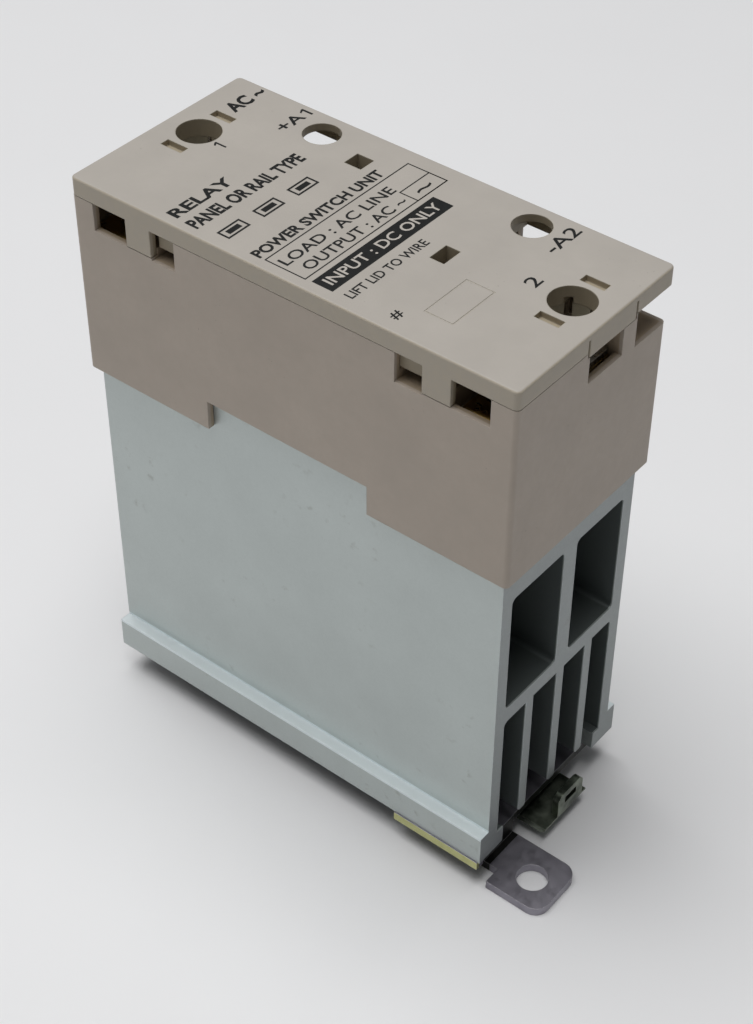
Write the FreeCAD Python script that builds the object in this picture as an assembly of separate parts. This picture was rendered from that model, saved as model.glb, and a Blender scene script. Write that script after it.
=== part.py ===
"""Solid state relay with its own heat sink, for a DIN rail or two screws.

The origin is at the middle of the footprint, on the plane that the relay stands on. +Z is up, +X
runs along the length towards load terminal 2, and -Y is the side whose mounting tab is at +X.
All sizes are in millimetres.
"""

import FreeCAD, Part
import math
import os

V = FreeCAD.Vector

# ---- driving sizes: the whole relay --------------------------------------------------------
TOTAL_H = 100.0
COVER_L = 80.0
COVER_W = 36.7
COVER_T = 3.0
TAB_OUT = 10.0

# ---- clearances ----------------------------------------------------------------------------
LID_GAP = 0.1
SINK_GAP = 0.15
SINK_SIDE_GAP = 0.1
SLIP = 0.15
TOUCH = 0.05
RUN = 0.05

# ---- housing -------------------------------------------------------------------------------
WALL = 1.2
FAR_INSET = 1.05
SKIRT_DROP = 34.4
RAISE_DROP = 29.2
SKIRT_L = 24.8
SHELF_DROP = 8.9
DECK_DROP = 6.5
DECK_T = 1.6
POCKET_L = 11.7
LOAD_WALL_INSET = 11.1
BARRIER_T = 1.5
COLUMN_W = 3.2
NOTCH_W = 4.5
LEG_INSET = 15.6
LEG_W = 4.9
SIDE_HOLE_INSET = 4.2
SIDE_HOLE_DROP = 7.7
NOTCH_DROP = 8.0
NOTCH_DEPTH = 4.0
ENTRY_W = 8.2
ENTRY_DROP = (3.8, 8.4)
SKIRT_CORNER_R = 0.8

# ---- cover ---------------------------------------------------------------------------------
COVER_CORNER_R = 0.9
COVER_EDGE_R = 0.35
LIP_T = 1.0
LIP_DROP = 6.1
LIP_END_GAP = 0.4
THIN_T = 1.3
THIN_MARGIN = 0.8
LOAD_HOLE_R = 3.5
INPUT_HOLE_R = 3.0
SLOT = (4.0, 1.6)
SLOT_DEPTH = 0.9
NICK_X = ((-2.8, -1.8), (0.8, 1.4))
NICK_DEPTH = 1.2
NICK_DROP = (1.9, 5.5)
SLOT_OFFSET_Y = 5.35
WINDOW_LED_X = -10.1
WINDOW_LED_BACK = 4.9
WINDOW_LED_SIZE = (3.1, 3.1)
WINDOW_VENT = (14.05, 0.2, 2.5, 3.8)
TONGUE_OVER = (8.55, 2.9)
GROOVE_W = 0.45
GROOVE_D = 0.4
OUTLINE = (19.8, 24.7, -12.0, -2.55)
OUTLINE_LINE = 0.2
OUTLINE_DEPTH = 0.06
GROOVE_TOP_DROP = 0.9

# ---- terminals -----------------------------------------------------------------------------
LOAD_INSET = 6.2
LOAD_BACK = 3.75
INPUT_INSET = 20.8
INPUT_SIDE_INSET = 3.8
BAR_T = 1.2
LOAD_SCREW_R = 2.0
LOAD_HEAD_R = 3.4
LOAD_HEAD_H = 2.0
LOAD_SCREW_L = 7.0
LOAD_WASHER = (8.4, 7.2, 1.0)
LOAD_NUT = (7.0, 3.2)
INPUT_SCREW_R = 1.75
INPUT_HEAD_R = 3.0
INPUT_HEAD_H = 1.9
INPUT_SCREW_L = 6.0
INPUT_WASHER = (6.8, 6.4, 0.8)
INPUT_NUT = (6.0, 2.8)
NUT_ROOM = 0.2
BOSS_WALL = 1.4
BAR_HALF_W = 4.3
BAR_SIDE_GAP = 0.95
BAR_FOOT_IN_X = 16.5
BAR_BEND_R = 1.0
PLATE_HALF_X = 4.3
PLATE_REACH = (4.9, 2.5)
TAIL_HALF_W = 1.2

# ---- heat sink -----------------------------------------------------------------------------
SINK_FOOT_Z = 5.7
SINK_FLANGE_T = 1.2
SINK_BASE_DROP = (5.6, 4.3)
SINK_WEB_Z = (34.4, 37.4)
SINK_WALL = 2.4
SINK_RIB_Y = (-1.71, 1.42)
FIN_Y = (-8.1, -0.1, 7.5)
FIN_T = 1.85
FIN_FOOT_Z = 9.2
LIP_OUT = 2.0
LIP_TOP_Z = 11.4
FOOT_IN = 1.6
CHANNEL_R = 1.0

# ---- bracket, rail grip and latch ----------------------------------------------------------
STEEL_T = 1.6
RAIL_W = 35.0
RAIL_GRIP = 1.8
RAIL_SIDE_GAP = 0.2
TAB_HOLE_R = 2.6
TAB_HOLE_IN = 5.0
TAB_HEAD_W = 10.9
TAB_HEAD_OVER = 0.15
TAB_HEAD_IN = 0.3
TAB_HOLE_SIDE = 5.7
TAB_NECK_W = 7.8
TAB_ROOT_INSET = 1.65
WING_INSET = (18.3, 1.7)
WING_OVER = 0.95
BASE_OVER = 1.6
TAB_CORNER_R = 2.5
HOOK_Y = (4.0, 13.0)
LATCH_Y = (-5.0, 6.4)
LATCH_T = 1.2
LATCH_Z = 1.7
LATCH_PULL_Z = 7.4
LATCH_OUT = 1.6
LATCH_CORNER_R = 1.4
LATCH_SLOT = (3.2, 1.4)
LATCH_PULL_Y = (-1.6, 5.2)
LATCH_SLOT_DROP = 1.2
GUIDE_X = (24.0, 34.0)
GUIDE_T = 1.2
GUIDE_GRIP = 1.6
STOP_W = 2.8
SPRING_R = 1.6
SPRING_WIRE_R = 0.28
SPRING_TURNS = 7
SPRING_L = 12.6
FIX_INSET = 8.65
FIX_SIDE_INSET = 0.5
FIX_SCREW_R = 1.2
FIX_HEAD_R = 2.1
FIX_SCREW_L = 6.0

# ---- power module and board ----------------------------------------------------------------
SHEET_T = 0.3
BOSS_GAP = 0.4
MODULE_BASE_T = 2.0
MODULE_Y = 2.3
MODULE_SCREW_INSET = 3.2
CASE_GAP = 0.6
MODULE_CASE_H = 7.2
MODULE_MARGIN = 0.8
CASE_WALL = 1.2
SUBSTRATE_GAP = (0.3, 0.2)
SUBSTRATE_T = 0.8
CHIP = (7.0, 7.0, 0.6)
POST_INSET = (4.0, 3.7)
POST_R = 2.2
BOARD_RISE = 4.0
BOARD_T = 1.6
BOARD_NEAR_GAP = 0.5
BOARD_POST_INSET = 2.8
BOARD_FAR_GAP = 0.7
BOARD_POST_OUT = 6.2
BOARD_POST_EDGE = 3.0
BOARD_POST_BACK = 2.4
BOARD_POST_R = 2.0
CLAMP_R = 1.5
CLAMP_HEAD_R = 2.7
CLAMP_BORE_R = 3.0
CLAMP_BOSS_R = 3.9
CLAMP_FLOOR_T = 3.5
LED_R = 1.5
LED_H = 3.6
PIPE_R = 1.4
PIPE_DROP = 2.0
LEAD_R = 0.3
PIN_PITCH = 2.54

# ---- board components: x, y of the middle, then sizes ----------------------------------------
COUPLER = (-3.0, 1.6, 9.2, 6.4, 3.5)
SNUBBER = (10.4, -3.8, 13.0, 5.0, 9.0)
FILTER_CAN = (-12.4, -2.6, 2.6, 7.0)
VARISTOR_X = 22.0
VARISTOR_BACK = 1.2
VARISTOR_SIZE = (4.4, 3.6)
RESISTOR_X = (-22.8, -16.0)
RESISTOR_Y = (-4.4, -1.4, 1.6)
RESISTOR_R = 1.1

# ---- levels and places worked out from the sizes above ---------------------------------------
SIDE_Y = COVER_W / 2
FAR_Y = SIDE_Y - FAR_INSET
END_X = COVER_L / 2
IN_X = END_X - WALL
IN_NEAR_Y = -SIDE_Y + WALL
IN_FAR_Y = FAR_Y - WALL
LID_Z = TOTAL_H - COVER_T
RIM_Z = LID_Z - LID_GAP
SHELF_Z = TOTAL_H - SHELF_DROP
DECK_Z = TOTAL_H - DECK_DROP
FLOOR_Z = SHELF_Z - BAR_T
ROOM_Z = FLOOR_Z - DECK_T
SKIRT_Z = TOTAL_H - SKIRT_DROP
RAISE_Z = TOTAL_H - RAISE_DROP
SKIRT_INNER_X = END_X - SKIRT_L
POCKET_IN_X = END_X - POCKET_L
SIDE_HOLE_X = END_X - SIDE_HOLE_INSET
LEG_IN_X = END_X - LEG_INSET
NOTCH_IN_X = LEG_IN_X - NOTCH_W
LIP_HALF_X = LEG_IN_X - LIP_END_GAP
LOAD_WALL_Y = FAR_Y - LOAD_WALL_INSET
COLUMN_Y = LOAD_WALL_Y + COLUMN_W
ENTRY_Y = (LOAD_WALL_Y - ENTRY_W, LOAD_WALL_Y)
TONGUE_Y = (LOAD_WALL_Y - TONGUE_OVER[0], LOAD_WALL_Y + TONGUE_OVER[1])
WINDOW_LED = (WINDOW_LED_X, LOAD_WALL_Y + WINDOW_LED_BACK) + WINDOW_LED_SIZE
LOAD_X = END_X - LOAD_INSET
LOAD_Y = LOAD_WALL_Y - LOAD_BACK
INPUT_X = END_X - INPUT_INSET
INPUT_Y = FAR_Y - INPUT_SIDE_INSET
PLATE_Y = (INPUT_Y - PLATE_REACH[0], INPUT_Y + PLATE_REACH[1])
BAR_NEAR_Y = IN_NEAR_Y + BAR_SIDE_GAP
SINK_L = 2 * (IN_X - SINK_GAP)
SINK_Y = (IN_NEAR_Y + SINK_SIDE_GAP, IN_FAR_Y - SINK_SIDE_GAP)
SINK_BASE_Z = (SKIRT_Z - SINK_BASE_DROP[0], RAISE_Z - SINK_BASE_DROP[1])
BASE_Z = SINK_FOOT_Z - STEEL_T
TAB_REACH = END_X + TAB_OUT
TAB_HOLE_X = TAB_REACH - TAB_HOLE_IN
TAB_HEAD_X = END_X - TAB_HEAD_IN
TAB_ROOT_X = SINK_L / 2 - TAB_ROOT_INSET
TAB_HEAD_Y = (SIDE_Y + TAB_HEAD_OVER - TAB_HEAD_W, SIDE_Y + TAB_HEAD_OVER)
TAB_NECK_Y = (TAB_HEAD_Y[0], TAB_HEAD_Y[0] + TAB_NECK_W)
TAB_HOLE_Y = TAB_HEAD_Y[0] + TAB_HOLE_SIDE
BASE_HALF_X = TAB_ROOT_X - 0.1
BASE_HALF_Y = SINK_Y[1] + BASE_OVER
WING_X = (END_X - WING_INSET[0], END_X - WING_INSET[1])
WING_Y = SIDE_Y + WING_OVER
LATCH_END_X = END_X + LATCH_OUT
FIX_SCREW_X = SINK_L / 2 - FIX_INSET
FIX_SCREW_Y = SINK_Y[1] - FIX_SIDE_INSET
CLAMP_X = LOAD_X
CLAMP_Y = SINK_Y[1] - SINK_FLANGE_T - CLAMP_BOSS_R - TOUCH * 2
CLAMP_MID_Y = SINK_Y[0] + SINK_FLANGE_T + CLAMP_BOSS_R + TOUCH * 3
CLAMP_FLOOR_Z = SINK_BASE_Z[1] + CLAMP_FLOOR_T
BOSS_EDGE_Y = CLAMP_MID_Y + CLAMP_BOSS_R
BASE_L = 2 * (CLAMP_X - CLAMP_BOSS_R - BOSS_GAP)
BASE_W = 2 * (MODULE_Y - BOSS_EDGE_Y - BOSS_GAP)
MODULE_BASE = (BASE_L, BASE_W, MODULE_BASE_T)
CASE_L = BASE_L - 2 * (MODULE_SCREW_INSET + CLAMP_HEAD_R + CASE_GAP)
MODULE_CASE = (CASE_L, BASE_W - 2 * MODULE_MARGIN, MODULE_CASE_H)
SUBSTRATE_L = MODULE_CASE[0] - 2 * (CASE_WALL + SUBSTRATE_GAP[0])
SUBSTRATE_W = MODULE_CASE[1] - 2 * (CASE_WALL + SUBSTRATE_GAP[1])
SUBSTRATE = (SUBSTRATE_L, SUBSTRATE_W, SUBSTRATE_T)
POST_X = MODULE_CASE[0] / 2 - POST_INSET[0]
POST_Y = MODULE_Y - MODULE_CASE[1] / 2 + POST_INSET[1]
MODULE_Z = SINK_BASE_Z[1] + SHEET_T
CASE_Z = MODULE_Z + MODULE_BASE[2]
CASE_TOP_Z = CASE_Z + MODULE_CASE[2]
BOARD_Z = CASE_TOP_Z + BOARD_RISE
BOARD_TOP_Z = BOARD_Z + BOARD_T
BOARD_POST_X = INPUT_X + BOARD_POST_OUT
BOARD_Y = (BOSS_EDGE_Y + BOARD_NEAR_GAP, IN_FAR_Y - BOARD_FAR_GAP)
BOARD_POST_Y = (BOARD_Y[0] + BOARD_POST_INSET, LOAD_WALL_Y + BOARD_POST_BACK)
BOARD_HALF_X = BOARD_POST_X + BOARD_POST_EDGE
VARISTOR = (VARISTOR_X, BOARD_POST_Y[0] + BOARD_POST_R + VARISTOR_BACK) + VARISTOR_SIZE
MIDDLE_ROOM_X = POCKET_IN_X - WALL
MIDDLE_ROOM_Y = (CLAMP_MID_Y + 0.3, LOAD_WALL_Y - WALL)

FAR_AWAY = 10 * TOTAL_H

shapes = {}


def box(x, y, z):
    """A block between the two values of each pair, given in either order."""
    x, y, z = sorted(x), sorted(y), sorted(z)
    return Part.makeBox(x[1] - x[0], y[1] - y[0], z[1] - z[0], V(x[0], y[0], z[0]))


def around(x, y, size_x, size_y, z):
    """A block centred on x, y between two heights."""
    return box((x - size_x / 2, x + size_x / 2), (y - size_y / 2, y + size_y / 2), z)


def rod(x, y, radius, z):
    """An upright cylinder between two heights."""
    low, high = sorted(z)
    return Part.makeCylinder(radius, high - low, V(x, y, low))


def mirrored(side, pair):
    """A pair of x values on one side of the middle."""
    return (side * pair[0], side * pair[1])


def turned(shape):
    """A copy turned half a turn about the vertical axis through the origin."""
    copy = shape.copy()
    copy.rotate(V(0, 0, 0), V(0, 0, 1), 180)
    return copy


def joined(parts):
    """All the parts as one clean solid."""
    result = parts[0]
    for part in parts[1:]:
        result = result.fuse(part)
    return result.removeSplitter()


def rounded(shape, radius, chosen):
    """The shape with a fillet on the edges that the test picks."""
    edges = [edge for edge in shape.Edges if chosen(edge)]
    return shape.makeFillet(radius, edges)


def runs_along(edge, axis):
    """True for a straight edge along an axis."""
    if not isinstance(edge.Curve, (Part.Line, Part.LineSegment)):
        return False
    direction = edge.Vertexes[1].Point - edge.Vertexes[0].Point
    return abs(direction.normalize().dot(axis)) > 0.999


def upright(edge):
    """True for a straight edge along Z."""
    return runs_along(edge, V(0, 0, 1))


def lengthwise(edge, low=-FAR_AWAY, high=FAR_AWAY):
    """True for a straight edge along X between two heights."""
    return runs_along(edge, V(1, 0, 0)) and edge.BoundBox.ZMin > low and edge.BoundBox.ZMax < high


def save(name, *solids):
    """Keep the solids of one node."""
    shapes[name] = list(solids)


def cover():
    """Push-fit lid: plate thinned over the inputs, side lip, legs, end tongues, holes, windows."""
    plate = box((-END_X, END_X), (-SIDE_Y, SIDE_Y), (LID_Z, TOTAL_H))
    plate = rounded(plate, COVER_CORNER_R, upright)
    plate = rounded(plate, COVER_EDGE_R, lambda edge: edge.BoundBox.ZMin > TOTAL_H - 0.01)
    lip_y = (IN_NEAR_Y + TOUCH * 2, IN_NEAR_Y + TOUCH * 2 + LIP_T)
    parts = [plate, box((-LIP_HALF_X, LIP_HALF_X), lip_y, (TOTAL_H - LIP_DROP, LID_Z))]
    leg_low = TOTAL_H - SIDE_HOLE_DROP + SLIP
    for side in (-1, 1):
        leg_x = mirrored(side, (LEG_IN_X + SLIP, LEG_IN_X + LEG_W))
        parts.append(box(leg_x, (-SIDE_Y, -SIDE_Y + WALL), (leg_low, LID_Z)))
        tongue_x = mirrored(side, (END_X, IN_X))
        tongue_z = (TOTAL_H - ENTRY_DROP[0], LID_Z)
        parts.append(box(tongue_x, TONGUE_Y, tongue_z))
    shape = joined(parts)
    cuts = []
    through = (LID_Z - 1, TOTAL_H + 1)
    for side in (-1, 1):
        cuts.append(rod(side * LOAD_X, LOAD_Y, LOAD_HOLE_R, through))
        nick_x = mirrored(side, (LOAD_X + NICK_X[0][0], LOAD_X + NICK_X[0][1]))
        nick_z = (LID_Z - 1, TOTAL_H - NICK_DROP[0])
        cuts.append(box(nick_x, (LOAD_Y, LOAD_WALL_Y + NICK_DEPTH), nick_z))
        cuts.append(rod(side * INPUT_X, INPUT_Y, INPUT_HOLE_R, through))
        for row in (-1, 1):
            y = LOAD_Y + row * SLOT_OFFSET_Y
            slot_z = (TOTAL_H - SLOT_DEPTH, TOTAL_H + 1)
            cuts.append(around(side * LOAD_X, y, SLOT[0], SLOT[1], slot_z))
        thin_x = mirrored(side, (SKIRT_INNER_X + THIN_MARGIN, IN_X))
        thin_y = (LOAD_WALL_Y + BARRIER_T + THIN_MARGIN, SIDE_Y - WALL)
        cuts.append(box(thin_x, thin_y, (LID_Z - 1, TOTAL_H - THIN_T)))
        for y in TONGUE_Y:
            deep = mirrored(side, (END_X + 1, END_X - GROOVE_D))
            groove_y = (y - GROOVE_W / 2, y + GROOVE_W / 2)
            groove_z = (LID_Z - 1, TOTAL_H - GROOVE_TOP_DROP)
            cuts.append(box(deep, groove_y, groove_z))
    for x, y, size_x, size_y in (WINDOW_LED, WINDOW_VENT):
        cuts.append(around(x, y, size_x, size_y, through))
    x0, x1, y0, y1 = OUTLINE
    frame_z = (TOTAL_H - OUTLINE_DEPTH, TOTAL_H + 1)
    outer = box((x0, x1), (y0, y1), frame_z)
    line = OUTLINE_LINE
    cuts.append(outer.cut(box((x0 + line, x1 - line), (y0 + line, y1 - line), frame_z)))
    for cut in cuts:
        shape = shape.cut(cut)
    save("terminal_cover", shape)


def boss(x, y, nut, nut_h, screw_r, reach):
    """The block under a terminal, and the hollow in it for the nut and the screw's end."""
    side = nut + NUT_ROOM + 2 * BOSS_WALL
    low = FLOOR_Z - nut_h - reach
    block = around(x, y, side, side, (low - BOSS_WALL, ROOM_Z))
    nut_room = around(x, y, nut + NUT_ROOM, nut + NUT_ROOM, (FLOOR_Z - nut_h - TOUCH, FLOOR_Z + 1))
    end_room = rod(x, y, screw_r + 0.3, (low, FLOOR_Z))
    return block, nut_room, end_room


def housing():
    """Moulded case: skirts over the heat sink, a deck with terminal pockets, open at the bottom."""
    shape = box((-END_X, END_X), (-SIDE_Y, FAR_Y), (SKIRT_Z, RIM_Z))
    shape = rounded(shape, SKIRT_CORNER_R, upright)
    inner = box((-IN_X, IN_X), (IN_NEAR_Y, IN_FAR_Y), (SKIRT_Z - 1, ROOM_Z))
    cuts = [inner]
    cuts.append(box((-MIDDLE_ROOM_X, MIDDLE_ROOM_X), MIDDLE_ROOM_Y, (ROOM_Z - 1, DECK_Z - DECK_T)))
    block_in = SKIRT_INNER_X - DECK_T
    block_y = (LOAD_WALL_Y + DECK_T, IN_FAR_Y)
    cuts.append(box((-block_in, block_in), block_y, (ROOM_Z - 1, RIM_Z - BARRIER_T)))
    for y in ((-SIDE_Y - 1, IN_NEAR_Y), (IN_FAR_Y, FAR_Y + 1)):
        cuts.append(box((-SKIRT_INNER_X, SKIRT_INNER_X), y, (SKIRT_Z - 1, RAISE_Z)))
    middle_x = (-POCKET_IN_X, POCKET_IN_X)
    cuts.append(box(middle_x, (IN_NEAR_Y, LOAD_WALL_Y), (DECK_Z, RIM_Z + 1)))
    for side in (-1, 1):
        load_x = mirrored(side, (POCKET_IN_X, IN_X))
        cuts.append(box(load_x, (IN_NEAR_Y, LOAD_WALL_Y), (FLOOR_Z, RIM_Z + 1)))
        input_y = (LOAD_WALL_Y + BARRIER_T, FAR_Y + 1)
        cuts.append(box(mirrored(side, (SKIRT_INNER_X, IN_X)), input_y, (SHELF_Z, RIM_Z + 1)))
        corner_x = mirrored(side, (IN_X - SLIP, END_X + 1))
        cuts.append(box(corner_x, (COLUMN_Y, FAR_Y + 1), (SHELF_Z, RIM_Z + 1)))
        for start, end in NICK_X:
            nick_x = mirrored(side, (LOAD_X + start, LOAD_X + end))
            nick_y = (LOAD_WALL_Y - 1, LOAD_WALL_Y + NICK_DEPTH)
            cuts.append(box(nick_x, nick_y, (TOTAL_H - NICK_DROP[1], RIM_Z + 1)))
        entry_z = (TOTAL_H - ENTRY_DROP[1], TOTAL_H - ENTRY_DROP[0] - LID_GAP)
        cuts.append(box(mirrored(side, (IN_X - 1, END_X + 1)), ENTRY_Y, entry_z))
        tongue_y = (TONGUE_Y[0] - SLIP, TONGUE_Y[1] + SLIP)
        tongue_z = (TOTAL_H - ENTRY_DROP[0] - LID_GAP, RIM_Z + 1)
        cuts.append(box(mirrored(side, (IN_X - SLIP, END_X + 1)), tongue_y, tongue_z))
        wall_y = (-SIDE_Y - 1, IN_NEAR_Y + TOUCH)
        hole_x = mirrored(side, (LEG_IN_X, SIDE_HOLE_X))
        cuts.append(box(hole_x, wall_y, (TOTAL_H - SIDE_HOLE_DROP, RIM_Z + 1)))
        notch_x = mirrored(side, (NOTCH_IN_X, LEG_IN_X))
        notch_y = (-SIDE_Y - 1, IN_NEAR_Y + NOTCH_DEPTH)
        cuts.append(box(notch_x, notch_y, (TOTAL_H - NOTCH_DROP, RIM_Z + 1)))
        plate_x = (side * INPUT_X - PLATE_HALF_X - RUN, side * INPUT_X + PLATE_HALF_X + RUN)
        plate_y = (PLATE_Y[0] - RUN, PLATE_Y[1] + RUN)
        cuts.append(box(plate_x, plate_y, (FLOOR_Z, RIM_Z)))
        leg_x = (side * LOAD_X - BAR_HALF_W - RUN, side * LOAD_X + BAR_HALF_W + RUN)
        leg_y = (BAR_NEAR_Y - RUN, BAR_NEAR_Y + BAR_T + BAR_BEND_R)
        cuts.append(box(leg_x, leg_y, (ROOM_Z - 1, FLOOR_Z + 1)))
    for cut in cuts:
        shape = shape.cut(cut)
    adds = []
    holes = []
    for side in (-1, 1):
        load = (side * LOAD_X, LOAD_Y, LOAD_NUT[0], LOAD_NUT[1], LOAD_SCREW_R, 2.0)
        inputs = (side * INPUT_X, INPUT_Y, INPUT_NUT[0], INPUT_NUT[1], INPUT_SCREW_R, 1.4)
        for place in (load, inputs):
            block, nut_room, end_room = boss(*place)
            adds.append(block.common(inner))
            holes += [nut_room, end_room]
        tail_x = (side * INPUT_X - TAIL_HALF_W - RUN, side * INPUT_X + TAIL_HALF_W + RUN)
        tail_y = (PLATE_Y[0] - RUN, PLATE_Y[0] + BAR_T + RUN)
        holes.append(box(tail_x, tail_y, (BOARD_TOP_Z, FLOOR_Z + 1)))
    for x, y, top in clamp_places():
        adds.append(rod(x, y, CLAMP_BOSS_R, (SINK_BASE_Z[1] + TOUCH, ROOM_Z + 0.5)))
        holes.append(rod(x, y, CLAMP_BORE_R, (CLAMP_FLOOR_Z, top + 0.01)))
        holes.append(rod(x, y, CLAMP_R + 0.2, (SINK_BASE_Z[1], CLAMP_FLOOR_Z + 1)))
    for x, y, top in board_posts():
        adds.append(rod(x, y, BOARD_POST_R, (BOARD_TOP_Z, top + 0.5)))
        holes.append(rod(x, y, 0.85, (BOARD_TOP_Z - 1, BOARD_TOP_Z + 4.5)))
    holes.append(rod(WINDOW_LED[0], WINDOW_LED[1], PIPE_R + RUN * 2, (RIM_Z - BARRIER_T - 1, RIM_Z + 1)))
    for part in adds:
        shape = shape.fuse(part)
    for cut in holes:
        shape = shape.cut(cut)
    save("housing", shape.removeSplitter())


def clamp_places():
    """x, y and top level of the three screws that hold the housing to the heat sink."""
    return [(-CLAMP_X, CLAMP_Y, SHELF_Z), (CLAMP_X, CLAMP_Y, SHELF_Z), (0, CLAMP_MID_Y, DECK_Z)]


def board_posts():
    """x, y and top level of the four posts that carry the circuit board."""
    places = []
    for side in (-1, 1):
        places.append((side * BOARD_POST_X, BOARD_POST_Y[0], DECK_Z - DECK_T))
        places.append((side * BOARD_POST_X, BOARD_POST_Y[1], ROOM_Z))
    return places


def heat_sink():
    """One aluminium extrusion: base, side walls, middle rib, web, three fins and foot lips."""
    near, far = SINK_Y
    span = (-SINK_L / 2, SINK_L / 2)
    inside = (near + SINK_WALL, far - SINK_WALL)
    shape = box(span, SINK_Y, (SINK_FOOT_Z, RAISE_Z))
    beyond = (span[0] - 1, span[1] + 1)
    trough = box(beyond, (near + SINK_FLANGE_T, far - SINK_FLANGE_T), (SINK_BASE_Z[1], RAISE_Z + 1))
    below = box(beyond, inside, (SINK_FOOT_Z - 1, SINK_WEB_Z[0]))
    corner = lambda edge: lengthwise(edge, low=SINK_FOOT_Z)
    cuts = [trough, rounded(below, CHANNEL_R, corner)]
    for y in ((inside[0], SINK_RIB_Y[0]), (SINK_RIB_Y[1], inside[1])):
        channel = box(beyond, y, (SINK_WEB_Z[1], SINK_BASE_Z[0]))
        cuts.append(rounded(channel, CHANNEL_R, corner))
    for cut in cuts:
        shape = shape.cut(cut)
    adds = []
    for y in FIN_Y:
        fin = box(span, (y - FIN_T / 2, y + FIN_T / 2), (FIN_FOOT_Z, SINK_WEB_Z[0] + 0.5))
        adds.append(rounded(fin, FIN_T * 0.3, lambda edge: lengthwise(edge, high=FIN_FOOT_Z + 0.1)))
    adds.append(box(span, (near - LIP_OUT, near + SINK_WALL + FOOT_IN), (SINK_FOOT_Z, SINK_FOOT_Z + 3.5)))
    adds.append(box(span, (far - SINK_WALL - FOOT_IN, far + LIP_OUT), (SINK_FOOT_Z, SINK_FOOT_Z + 3.5)))
    adds.append(box(span, (near - LIP_OUT, near), (SINK_FOOT_Z, LIP_TOP_Z)))
    adds.append(box(span, (far, far + LIP_OUT), (SINK_FOOT_Z, LIP_TOP_Z)))
    for part in adds:
        shape = shape.fuse(part)
    shape = shape.removeSplitter()
    for x, y in fix_places():
        shape = shape.cut(rod(x, y, FIX_SCREW_R + RUN, (SINK_FOOT_Z - 1, SINK_FOOT_Z + FIX_SCREW_L)))
    for x, y, top in clamp_places():
        shape = shape.cut(rod(x, y, CLAMP_R + RUN, (SINK_BASE_Z[0] + 0.6, SINK_BASE_Z[1] + 1)))
    for x, y in module_screw_places():
        shape = shape.cut(rod(x, y, CLAMP_R + RUN, (SINK_BASE_Z[0] + 0.6, SINK_BASE_Z[1] + 1)))
    save("heat_sink", shape)


def fix_places():
    """x and y of the four countersunk screws that hold the bracket to the heat sink."""
    return [(x * FIX_SCREW_X, y * FIX_SCREW_Y) for x in (-1, 1) for y in (-1, 1)]


def bracket():
    """Folded steel bracket: base, two diagonal tabs, two rail hooks, latch guides, spring stop."""
    base_z = (BASE_Z, SINK_FOOT_Z)
    parts = [box((-BASE_HALF_X, BASE_HALF_X), (-BASE_HALF_Y, BASE_HALF_Y), base_z)]
    wing = box(WING_X, (-WING_Y, -BASE_HALF_Y + 0.1), base_z)
    riser = box((TAB_ROOT_X - STEEL_T, TAB_ROOT_X), mirrored(-1, TAB_NECK_Y), (0, SINK_FOOT_Z))
    neck = box((TAB_ROOT_X - STEEL_T, TAB_HEAD_X + 1), mirrored(-1, TAB_NECK_Y), (0, STEEL_T))
    head = box((TAB_HEAD_X, TAB_REACH), mirrored(-1, TAB_HEAD_Y), (0, STEEL_T))
    head = rounded(head, TAB_CORNER_R, lambda edge: upright(edge) and edge.BoundBox.XMin > TAB_HEAD_X)
    for part in (wing, riser, neck, head):
        parts += [part, turned(part)]
    rail_edge = -RAIL_W / 2 - RAIL_SIDE_GAP
    for side in (-1, 1):
        hook_y = (side * HOOK_Y[0], side * HOOK_Y[1])
        parts.append(box((rail_edge - STEEL_T, rail_edge), hook_y, (0, BASE_Z + 0.1)))
        parts.append(box((rail_edge - STEEL_T, rail_edge + RAIL_GRIP), hook_y, (0, STEEL_T)))
    guide_z = (LATCH_Z - SLIP - GUIDE_T, LATCH_Z - SLIP)
    for y, inward in ((LATCH_Y[0] - SLIP, 1), (LATCH_Y[1] + SLIP, -1)):
        outside = y - inward * STEEL_T
        parts.append(box(GUIDE_X, (y, outside), (guide_z[0], BASE_Z + 0.1)))
        parts.append(box(GUIDE_X, (outside, y + inward * GUIDE_GRIP), guide_z))
    stop_x, stop_y = spring_line()
    stop_z = (LATCH_Z + LATCH_T / 2 - SPRING_R, BASE_Z + 0.1)
    parts.append(box((stop_x, stop_x + STEEL_T), (stop_y - STOP_W / 2, stop_y + STOP_W / 2), stop_z))
    shape = joined(parts)
    for side in (-1, 1):
        shape = shape.cut(rod(side * TAB_HOLE_X, -side * TAB_HOLE_Y, TAB_HOLE_R, (-1, STEEL_T + 1)))
    for x, y in fix_places():
        shape = shape.cut(screw_cone(x, y, 0.1))
        shape = shape.cut(rod(x, y, FIX_SCREW_R + 0.15, (BASE_Z - 1, SINK_FOOT_Z + 1)))
    save("mounting_bracket", shape)


def screw_cone(x, y, room):
    """The countersunk head's cone, wide end down on the bracket's under face."""
    wide = FIX_HEAD_R + room
    narrow = FIX_SCREW_R + room
    return Part.makeCone(wide, narrow, wide - narrow, V(x, y, BASE_Z))


def bracket_screws():
    solids = []
    for x, y in fix_places():
        shank = rod(x, y, FIX_SCREW_R, (BASE_Z + 0.2, BASE_Z + FIX_SCREW_L))
        solid = shank.fuse(screw_cone(x, y, 0)).removeSplitter()
        solids.append(solid.cut(cross(x, y, 1.6, 0.45, (BASE_Z - 1, BASE_Z + 0.6))))
    save("bracket_screws", *solids)


def cross(x, y, length, width, z):
    """A cross recess for a screwdriver."""
    return around(x, y, length, width, z).fuse(around(x, y, width, length, z))


def spring_line():
    """x of the spring's fixed end and y of its axis."""
    return RAIL_W / 2 + 3.0 + SPRING_L, (LATCH_Y[0] + LATCH_Y[1]) / 2


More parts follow.
